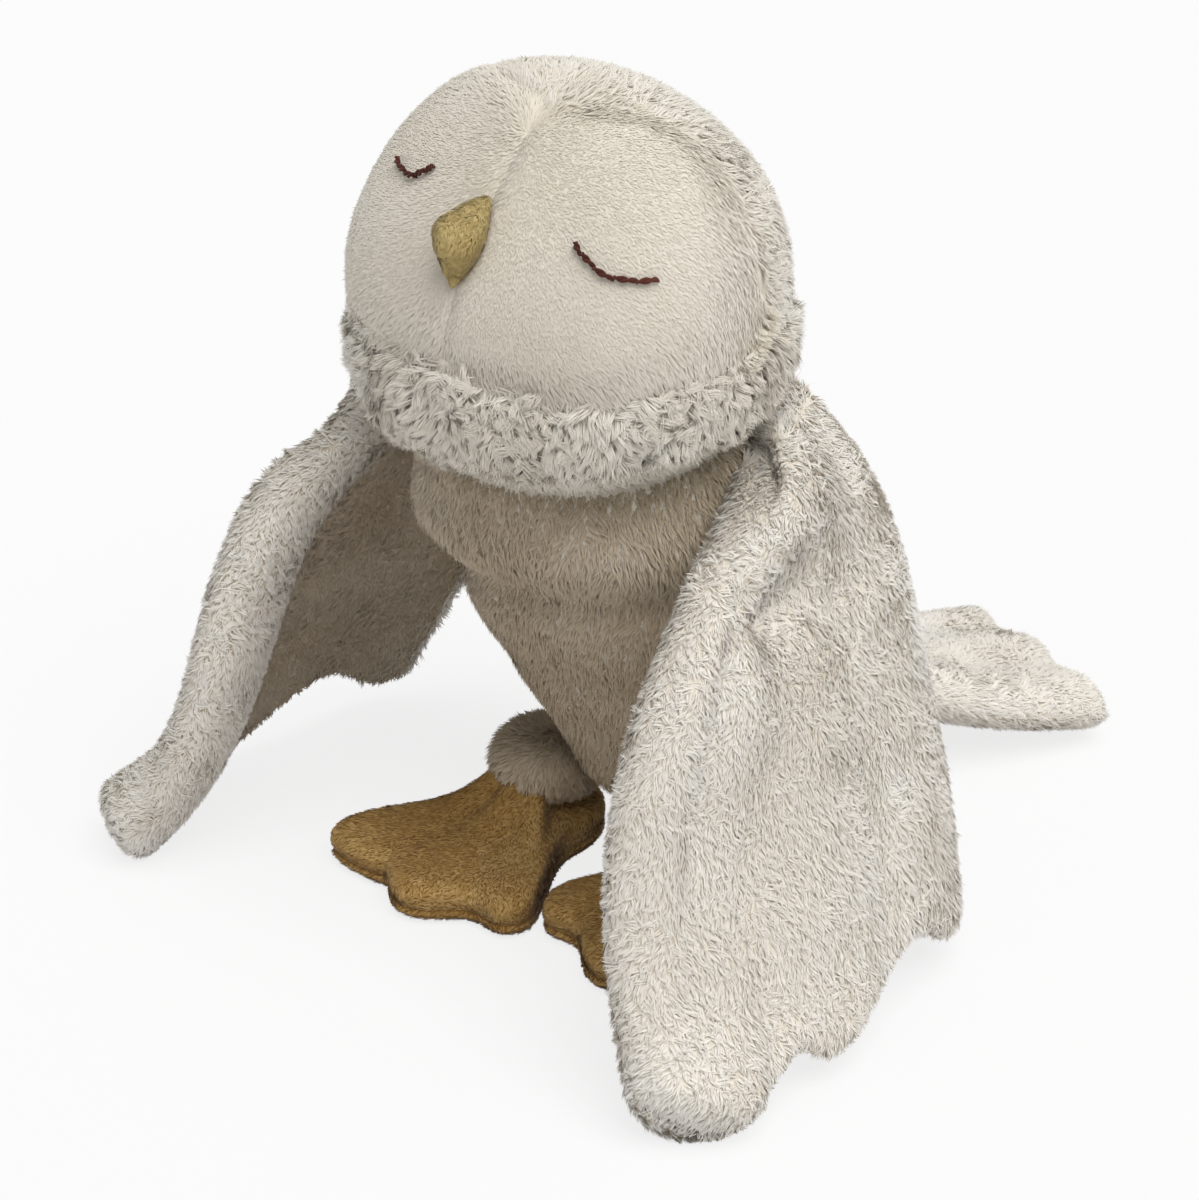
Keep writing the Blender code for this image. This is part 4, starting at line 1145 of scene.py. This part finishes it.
# Its gathered nub, and the pinched folds round it
BEAK_FOLDS = (
    (((0.55, -0.02, 1.0), (0.63, 0.02, 1.0)), -0.0034, 0.0046),
    (((0.36, -0.09, 1.0), (0.50, -0.06, 0.7)), 0.0012, 0.0012),
    (((0.30, 0.05, 1.0), (0.48, 0.05, 0.7)), 0.0012, 0.0012),
    (((0.74, 0.08, 0.7), (0.86, 0.12, 1.0)), 0.0012, 0.0012),
    (((0.74, -0.05, 0.7), (0.88, -0.08, 1.0)), 0.0012, 0.0012),
)


def beak_form(inset):
    """A small bag down the seam: half-round rings across it, fullest in the middle, pointed below."""
    rings = []
    angle = 2 * np.pi * np.arange(BEAK_SIDES) / BEAK_SIDES
    for along, width, reach in BEAK_RING_SHARES:
        seat = face_point(0.0, BEAK_TOP - along * BEAK_LENGTH)[0]
        forward = reach * BEAK_REACH * (1 + 2 * np.cos(angle)) / 3
        sideways = np.sin(angle)[:, None] * width * BEAK_HALF_WIDTH
        rings.append(seat + sideways * FACE_SIDE + forward[:, None] * FACE_OUT)
    ends = [face_point(0.0, BEAK_TOP)[0], face_point(0.0, BEAK_TOP - BEAK_LENGTH)[0]]
    grid = shrunk(ring_surface(rings, *ends, rows=60, columns=56), inset)
    for line, depth, width in BEAK_FOLDS:
        grid = pressed(grid, faced_out(grid), line, depth, width)
    return grid


# Eyes


def path_frames(path):
    """Along a path: its direction and two directions square to it, the first lying on the face."""
    ahead = unit(np.gradient(path, axis=0))
    beside = unit(np.cross(ahead, FACE_OUT))
    return ahead, beside, np.cross(beside, ahead)


def ply(path, radius, phase, rows=20, sides=8):
    """One ply of a stitch: a round tube that winds once about the stitch's path and thins at both of its ends."""
    share = np.linspace(0, 1, rows)
    along = np.stack([np.interp(share, np.linspace(0, 1, len(path)), path[:, k]) for k in range(3)], 1)
    _, beside, over = path_frames(along)
    swell = np.maximum(np.sin(np.pi * (0.04 + 0.92 * share)), 0)[:, None] ** 0.28
    wind = (2 * np.pi * share + phase)[:, None]
    centre = along + radius * PLY_OFFSET * swell * (np.cos(wind) * beside + np.sin(wind) * over)
    centre = centre - FACE_OUT * (STITCH_SINK * (2 * share[:, None] - 1) ** 8)
    angle = 2 * np.pi * np.arange(sides) / sides
    ring = np.cos(angle)[None, :, None] * beside[:, None] + np.sin(angle)[None, :, None] * over[:, None]
    return centre[:, None] + ring * (radius * PLY_RADIUS * swell)[:, None]


def tubes_object(name, grids, finish):
    """Several closed tubes as one mesh, each with a point at both ends."""
    points, faces = [], []
    for grid in grids:
        rows, columns = grid.shape[:2]
        index = sum(len(part) for part in points) + np.arange(rows * columns).reshape(rows, columns)
        points.append(np.concatenate([grid.reshape(-1, 3), [grid[0].mean(0), grid[-1].mean(0)]]))
        faces += tube_faces(index, index[-1, -1] + 1, index[-1, -1] + 2)
    return smooth_object(name, np.concatenate(points), faces, finish)


# Closed eyes, as the stitched line runs across and up the face, in metres
EYE_LINES = {
    "left": (
        *((0.0315, -0.0034), (0.0340, -0.0066), (0.0385, -0.0085)),
        *((0.0440, -0.0092), (0.0492, -0.0070), (0.0532, -0.0024)),
    ),
    "right": (
        *((-0.0409, 0.0030), (-0.0380, -0.0004), (-0.0335, -0.0022)),
        *((-0.0290, -0.0020), (-0.0260, 0.0000), (-0.0243, 0.0030)),
    ),
}


def eye_grids(line):
    """Stitches end to end along the line, each of two plies. The line is a spline, drawn out to its end points."""
    line = np.array(line)
    steps = EYE_STEPS + 1
    dense = spline_weights(len(line), np.linspace(0, len(line) - 1, steps), False) @ line
    before = (line[0] - dense[0]) * np.linspace(1, 0, steps)[:, None]
    dense += before + (line[-1] - dense[-1]) * np.linspace(0, 1, steps)[:, None]
    path = face_point(dense[:, 0], dense[:, 1], EYE_LIFT)
    grids = []
    for stitch in range(EYE_STITCHES):
        first = int(EYE_STEPS * max(stitch - STITCH_OVERLAP, 0) / EYE_STITCHES)
        last = int(EYE_STEPS * min(stitch + 1 + STITCH_OVERLAP, EYE_STITCHES) / EYE_STITCHES)
        part = path[first : last + 1]
        part = part + path_frames(part)[1] * STITCH_STEP * (-1) ** stitch
        grids += [ply(part, THREAD_RADIUS, phase) for phase in (0, np.pi)]
    return grids


# Making


LOOK_TERMS = ("rise", "lift", "lay", "draw", "tuft", "swirl", "stray", "lean", "round")


def pile_look(*values):
    """How a pile stands: how far it rises out of the cloth at its root and at its tip, how much it follows the
    brushing, how far a tuft draws together, the size of a tuft and of a swirl, how far a blade strays from its
    tuft, how far a tuft leans, and how round a tuft is lit."""
    return dict(zip(LOOK_TERMS, values))


LONG_LOOK = pile_look(0.58, 0.30, 0.7, 0.30, 0.0018, 0.010, 0.08, 0.65, 0.35)
WING_LOOK = pile_look(0.54, 0.27, 0.6, 0.24, 0.0015, 0.012, 0.09, 0.65, 0.18)
BELLY_LOOK = pile_look(0.60, 0.28, 0.9, 0.30, 0.0018, 0.012, 0.08, 0.50, 0.30)
VELOUR_LOOK = pile_look(0.45, 0.24, 1.0, 0.05, 0.0012, 0.014, 0.09, 0.30, 0.05)
NAP_LOOK = pile_look(0.42, 0.20, 1.0, 0.15, 0.0016, 0.007, 0.05, 0.55, 0.1)
RUFF_LOOK = pile_look(0.78, 0.42, 0.6, 0.50, 0.0022, 0.009, 0.10, 0.80, 0.4)

# How the hood's pile falls as it leaves the face, and where and how strongly the face's pile parts up and down
HOOD_FALL = 0.4
PARTING_RISE = 0.02
PARTING_UPWARD = 0.7

# The whole number that scatter, rumpled and grow_pile take starts their chance, which so is the same on every run


def make_head():
    """The hood, which lies deeper under the face. Its pile is longer low down and brushed away from the face."""
    skin = shrunk(head_form(), PLUSH_INSET)
    normals = faced_out(skin)
    under_face = np.clip(inside_face(skin.reshape(-1, 3)) / FACE_SEAT_FADE, 0, 1).reshape(skin.shape[:2])
    skin = skin - normals * (under_face * FACE_SEAT)[..., None]
    cloth_piece("hood_cloth", skin, normals, cream_cloth, "head", ["hood", "head_filling"])
    per_area, width = HOOD_BLADES
    roots = clear_roots(skin, normals, per_area, 11, body_outline)
    roots = kept(roots, inside_face(roots["place"]) < HOOD_OVERLAP)
    away = roots["place"] - (HEAD_MIDDLE + FACE_OUT * HEAD_DEPTH)
    comb = away + UP * -HOOD_FALL * HEAD_HALF_WIDTH
    low = np.clip((HOOD_LONG_BELOW - roots["place"][:, 2]) / HOOD_LONG_FADE, 0, 1)
    length = PLUSH_PILE + (RUFF_PILE - PLUSH_PILE) * low
    grow_pile("hood_pile", roots, comb, cream_pile, "head", length, width, LONG_LOOK, 21)


def make_face(side, word):
    """One half of the face, brushed outwards, with longer pile at its rim, and its stitched eye."""
    panel = face_panel(side)
    normals = grid_normals(panel, False)
    normals = normals if (normals @ FACE_OUT).mean() > 0 else -normals
    name = "face_" + word
    cloth_piece(name + "_cloth", panel, normals, face_cloth, "head", [name], closed=False)
    per_area, width = FACE_BLADES
    roots = scatter(panel, normals, per_area, 31 + side, closed=False)
    across, rise, _ = on_face_plane(roots["place"])
    comb = across[:, None] * FACE_SIDE + (rise[:, None] - PARTING_RISE) * FACE_UP * PARTING_UPWARD
    at_rim = np.clip(1 - inside_face(roots["place"]) / LONG_RIMS[side], 0, 1)
    lengths = VELOUR_PILE + (PLUSH_PILE - VELOUR_PILE) * at_rim
    grow_pile(
        name + "_pile", roots, comb, face_pile, "head", lengths, width, VELOUR_LOOK, 41 + side
    )
    eye = tubes_object("eye_" + word + "_stitches", [toy(grid) for grid in eye_grids(EYE_LINES[word])], eye_thread)
    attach(eye, "head")
    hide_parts("eye_" + word)


def make_beak():
    """The beak, brushed down."""
    skin = beak_form(NAP_INSET)
    outward = faced_out(skin)
    cloth_piece("beak_cloth", skin, outward, olive_cloth, "head", ["beak"])
    per_area, width = BEAK_BLADES
    roots = clear_roots(skin, outward, per_area, 71, head_outline)
    comb = np.broadcast_to(-FACE_UP, roots["place"].shape)
    grow_pile("beak_pile", roots, comb, beak_pile, "head", NAP_PILE, width, NAP_LOOK, 72)


def make_ruff():
    """The ruff, rumpled by its stuffing and brushed down and away from the head."""
    skin = ruff_form(PLUSH_INSET)
    skin = rumpled(skin, faced_out(skin, by_ring=True), RUFF_RUMPLE_SIZE, RUFF_RUMPLE_HEIGHT, 83)
    outward = faced_out(skin, by_ring=True)
    cloth_piece("ruff_cloth", skin, outward, cream_cloth, "head", ["ruff"])
    per_area, width = RUFF_BLADES
    roots = clear_roots(skin, outward, per_area, 81, head_outline, depth=PLUSH_INSET)
    away = roots["place"] - HEAD_MIDDLE
    comb = unit(away * np.array([1, 1, 0])) * 0.9 - UP * 0.9
    grow_pile("ruff_shaded_pile", roots, comb, ruff_shaded_pile, "head", RUFF_PILE, width, RUFF_LOOK, 82)


def make_body():
    """The body with its folds, in one cloth. The back's pile and the belly's meet at the seam, brushed down. The
    belly's pile is coloured darker: painted shade.
    """
    skin = shrunk(body_form(), PLUSH_INSET)
    for line, depth, width in BODY_FOLDS:
        skin = pressed(skin, faced_out(skin), line, depth, width)
    outward = faced_out(skin)
    nodes = ["back_panel", "belly_panel", "body_filling"]
    cloth_piece("body_cloth", skin, outward, cream_cloth, "torso", nodes)
    per_area, belly_width = BODY_BLADES
    roots = scatter(skin, outward, per_area, 51)
    shown = outside(head_outline, roots["place"]) > -HIDDEN_DEPTH_AT_NECK
    behind = roots["place"][:, 1] > BELLY_SEAM_Y
    thinned = np.random.default_rng(53).random(len(shown))
    for name, keep, finish, slot, length, width, share, seed in (
        ("back_pile", behind, cream_pile, "body_plush", PLUSH_PILE, BACK_WIDTH, BACK_SHARE, 61),
        ("shaded_belly_pile", ~behind, shaded_belly_pile, "belly_plush", BELLY_PILE, belly_width, BELLY_SHARE, 62),
    ):
        chosen = kept(roots, shown & keep & (thinned < share))
        comb = np.broadcast_to(-UP, chosen["place"].shape)
        on_roll = np.exp(-(((chosen["place"][:, 2] - CHEST_ROLL_Z) / CHEST_ROLL_WIDTH) ** 2))
        lengths = length + (CHEST_PILE - length) * on_roll
        grow_pile(name, chosen, comb, finish, "torso", lengths, width, BELLY_LOOK, seed)


# How far the edge between two piles wanders, as a share of the columns, and over what distance, and how much the
# pile at a pillow's root is brushed upwards
EDGE_WANDER = 0.02
EDGE_WANDER_SIZE = 0.006
TOP_RISE = 0.3


def make_pillow(body, grid, sides, seed):
    """Two cloths over the halves of a closed pillow, sewn at both of its edges. Each wears one or more piles, each
    between two shares of its columns. At the pillow's root the pile is longer and brushed up, over the seam."""
    normals = faced_out(grid, by_ring=True)
    normals[0] = normals[1]
    normals[-1] = normals[-2]
    half = grid.shape[1] // 2
    wide, facing = lapped(grid), lapped(normals)
    for k, (name, nodes, cloth, slot, piles) in enumerate(sides):
        columns = slice(half * k, half * (k + 1) + 1)
        skin, outward = wide[:, columns], facing[:, columns]
        cloth_piece(name + "_cloth", skin, outward, cloth, body, nodes, closed=False)
        for m, (pile_name, finish, pile_slot, (per_area, width), length, first, last) in enumerate(piles):
            own_seed = seed + k + 2 * m
            roots = clear_roots(skin, outward, per_area, own_seed, body_outline, closed=False)
            edge = roots["column"] + EDGE_WANDER * (drift(roots["place"], EDGE_WANDER_SIZE, seed + 30) - 0.5)
            roots = kept(roots, (edge >= first) & (edge < last))
            at_top = np.clip(1 - roots["row"] / TOP_SHARE, 0, 1)
            comb = roots["down"] * (1 - 2 * at_top)[:, None] + UP * TOP_RISE * at_top[:, None]
            lengths = length + (RUFF_PILE - length) * at_top
            grow_pile(pile_name, roots, comb, finish, body, lengths, width, WING_LOOK, own_seed + 10)


# Folds of a wing, in turn: the stuffing behind the roll at the shoulder, the hollow below the shoulder, the
# shoulder itself, the hollow of the blade, the groove behind the stuffed front roll, the crease below the
# shoulder, and two channels that run down to the notches between the feathers
WING_FOLDS = (
    (pressed, ((0.02, 0.19, 0.7), (0.12, 0.195, 1.0), (0.20, 0.185, 0.9)), -0.0040, 0.0085),
    (bent, ((0.24, 0.085, 0.4), (0.265, 0.18, 1.0), (0.285, 0.25, 1.0), (0.30, 0.34, 0.3)), 0.0066, 0.011),
    (bent, ((0.13, 0.10, 0.8), (0.155, 0.17, 1.0), (0.16, 0.25, 0.9)), -0.0058, 0.014),
    (bent, ((0.38, 0.20, 0.8), (0.48, 0.26, 1.0), (0.64, 0.27, 0.8)), -0.0042, 0.019),
    (
        pressed,
        ((0.26, 0.09, 0.7), (0.35, 0.095, 1.0), (0.51, 0.115, 0.9), (0.64, 0.108, 0.7), (0.86, 0.10, 0.2)),
        *(0.0042, 0.0048),
    ),
    (pressed, ((0.25, 0.10, 0.6), (0.268, 0.18, 1.0), (0.29, 0.25, 0.9), (0.305, 0.33, 0.2)), 0.0030, 0.0050),
    (pressed, ((0.55, 0.20, 0.0), (0.75, 0.20, 0.8), (0.97, 0.20, 1.0)), 0.0024, 0.0045),
    (pressed, ((0.60, 0.35, 0.0), (0.78, 0.35, 0.8), (0.95, 0.355, 1.0)), 0.0024, 0.0045),
)

# The white plush wraps round onto the lower cloth: from a wing's front roll back to the first share of that
# cloth's columns, from its rear edge in to the second, and from both of the tail's sides in to the third
ROLL_WRAP = 0.69
REAR_WRAP = 0.06
TAIL_WRAP = 0.16
# Shares before a cloth's first column and beyond its last
BEFORE, BEYOND = -1, 2


def make_wing(side, word):
    """A wing: white pile outside and round both edges, painted paler as painted light, and plain short pile on the
    lining, coloured darker as painted shade.
    """
    name = "wing_" + word
    outer, lining = name + "_outer", name + "_lining"
    white = (outer + "_pile", wing_pile, "wing_plush", WING_BLADES, WING_PILE, BEFORE, BEYOND)
    plain = (lining + "_pile", lining_pile, "lining_plush", LINING_BLADES, LINING_PILE, REAR_WRAP, ROLL_WRAP)
    rim = (name + "_rear_edge_pile", wing_pile, "wing_plush", WING_BLADES, WING_PILE, BEFORE, REAR_WRAP)
    wrapped = (name + "_roll_pile", wing_pile, "wing_plush", ROLL_BLADES, WING_PILE, ROLL_WRAP, BEYOND)
    sides = (
        (outer, [outer, name + "_filling"], cream_cloth, "wing_plush", (white,)),
        (lining, [lining], shaded_lining_cloth, "lining_plush", (plain, wrapped, rim)),
    )
    skin = wing_form(side, PLUSH_INSET)
    for fold, line, depth, width in WING_FOLDS:
        skin = fold(skin, faced_out(skin, by_ring=True), line, depth, width)
    make_pillow(name, skin, sides, 100 + 5 * side)


def make_tail():
    """The tail: white pile above and round both sides, painted paler as painted light, and plain short pile below,
    coloured darker as painted shade.
    """
    inner = 1 - TAIL_WRAP
    white = ("tail_upper_pile", wing_pile, "wing_plush", TAIL_BLADES, WING_PILE, BEFORE, BEYOND)
    plain = ("tail_under_pile", lining_pile, "lining_plush", TAIL_UNDER_BLADES, LINING_PILE, TAIL_WRAP, inner)
    near = ("tail_near_edge_pile", wing_pile, "wing_plush", TAIL_EDGE_BLADES, WING_PILE, BEFORE, TAIL_WRAP)
    far = ("tail_far_edge_pile", wing_pile, "wing_plush", TAIL_EDGE_BLADES, WING_PILE, inner, BEYOND)
    sides = (
        ("tail_upper", ["tail_upper", "tail_filling"], cream_cloth, "wing_plush", (white,)),
        ("tail_under", ["tail_under"], shaded_lining_cloth, "lining_plush", (plain, near, far)),
    )
    make_pillow("tail", tail_form(PLUSH_INSET), sides, 130)


def make_leg(side, word):
    """The cuff, brushed down, in the belly's darker colours of painted shade, and the foot's sole and upper,
    brushed away from the ankle.
    """
    ankle = ankle_place(side)
    name = "cuff_" + word
    skin = barrel_form(ankle - UP * CUFF_DROP, CUFF_HALF_WIDTH - PLUSH_INSET + CUFF_FULLER, CUFF_HALF_HEIGHT)
    outward = faced_out(skin)
    cloth_piece(name + "_cloth", skin, outward, shaded_lining_cloth, "torso", [name])
    per_area, width = CUFF_BLADES
    roots = clear_roots(skin, outward, per_area, 91 + side, body_outline)
    comb = np.broadcast_to(-UP, roots["place"].shape)
    grow_pile(
        name + "_pile", roots, comb, shaded_belly_pile, "torso", CUFF_PILE, width, BELLY_LOOK, 94 + side
    )
    body = "foot_" + word
    sole, upper = body + "_sole", body + "_upper"
    for part, shares, nodes, seed, (per_area, width) in (
        (sole, SOLE_RISE_SHARES, [sole], 151 + side, SOLE_BLADES),
        (upper, TOP_RISE_SHARES, [upper, body + "_filling"], 161 + side, UPPER_BLADES),
    ):
        skin = foot_form(side, shares, NAP_INSET)
        outward = grid_normals(skin, True)
        outward = outward * np.sign((outward[..., :2] * (skin[..., :2] - ankle[:2])).sum())
        ends = (shares[0][0] == 0, shares[-1][0] == 0)
        cloth_piece(part + "_cloth", skin, outward, ochre_cloth, body, nodes, capped=ends)
        roots = scatter(skin, outward, per_area, seed)
        roots = kept(roots, roots["place"][:, 2] > SOLE_LIFT)
        comb = (roots["place"] - ankle) * np.array([1, 1, 0])
        grow_pile(part + "_pile", roots, comb, foot_pile, body, NAP_PILE, width, NAP_LOOK, seed)


make_head()
make_beak()
make_ruff()
make_body()
make_tail()
for side, word in ((1, "left"), (-1, "right")):
    make_face(side, word)
    make_wing(side, word)
    make_leg(side, word)


# Camera, lights and floor

scene = bpy.context.scene
scene.view_settings.view_transform = "Standard"

lens = bpy.data.cameras.new("camera")
camera = placed("camera", lens)
level = math.cos(VIEW_ELEVATION)
back = Vector((math.sin(VIEW_AZIMUTH) * level, -math.cos(VIEW_AZIMUTH) * level, math.sin(VIEW_ELEVATION)))
camera.location = Vector(VIEW_TARGET - TOY_MIDDLE) + back * VIEW_DISTANCE
camera.rotation_mode = "QUATERNION"
camera.rotation_quaternion = (-back).to_track_quat("-Z", "Y")
lens.lens = VIEW_LENS
lens.clip_start = 0.01
lens.clip_end = 20
scene.camera = camera

# The sky is plain white to the camera, and lights the toy with less
world = bpy.data.worlds.new("studio")
scene.world = world
world.use_nodes = True
sky = world.node_tree.nodes["Background"]
sky.inputs["Color"].default_value = WHITE
strength = node(world.node_tree, "ShaderNodeMath", operation="MULTIPLY_ADD")
strength.inputs[1].default_value = 1 - SKY_LIGHT
strength.inputs[2].default_value = SKY_LIGHT
ray = node(world.node_tree, "ShaderNodeLightPath")
world.node_tree.links.new(ray.outputs["Is Camera Ray"], strength.inputs[0])
world.node_tree.links.new(strength.outputs[0], sky.inputs["Strength"])

lamp = bpy.data.lights.new("overhead_softbox", "SUN")
lamp.energy = LAMP_STRENGTH
lamp.angle = LAMP_WIDTH
sun = placed("overhead_softbox", lamp)
sun.rotation_mode = "QUATERNION"
sun.rotation_quaternion = Vector(LAMP_FROM).to_track_quat("Z", "Y")

# The floor takes the toy's shadow, and is part plain white to the camera
paper, tree, shader = new_finish("white_paper", 0.9, 0.0, 0.0)
shader.inputs["Base Color"].default_value = (0.82, 0.815, 0.817, 1)
plain = node(tree, "ShaderNodeMath", operation="MULTIPLY")
plain.inputs[1].default_value = PLAIN_FLOOR_SHARE
blended = node(tree, "ShaderNodeMixShader")
tree.links.new(node(tree, "ShaderNodeLightPath").outputs["Is Camera Ray"], plain.inputs[0])
tree.links.new(plain.outputs[0], blended.inputs[0])
tree.links.new(shader.outputs[0], blended.inputs[1])
tree.links.new(node(tree, "ShaderNodeEmission").outputs[0], blended.inputs[2])
tree.links.new(blended.outputs[0], tree.nodes["Material Output"].inputs["Surface"])

floor_mesh = bpy.data.meshes.new("studio_floor")
corners = [(x * FLOOR_REACH, y * FLOOR_REACH, 0) for x, y in ((-1, -1), (1, -1), (1, 1), (-1, 1))]
floor_mesh.from_pydata(corners, [], [(0, 1, 2, 3)])
floor_mesh.materials.append(paper)
placed("studio_floor", floor_mesh)
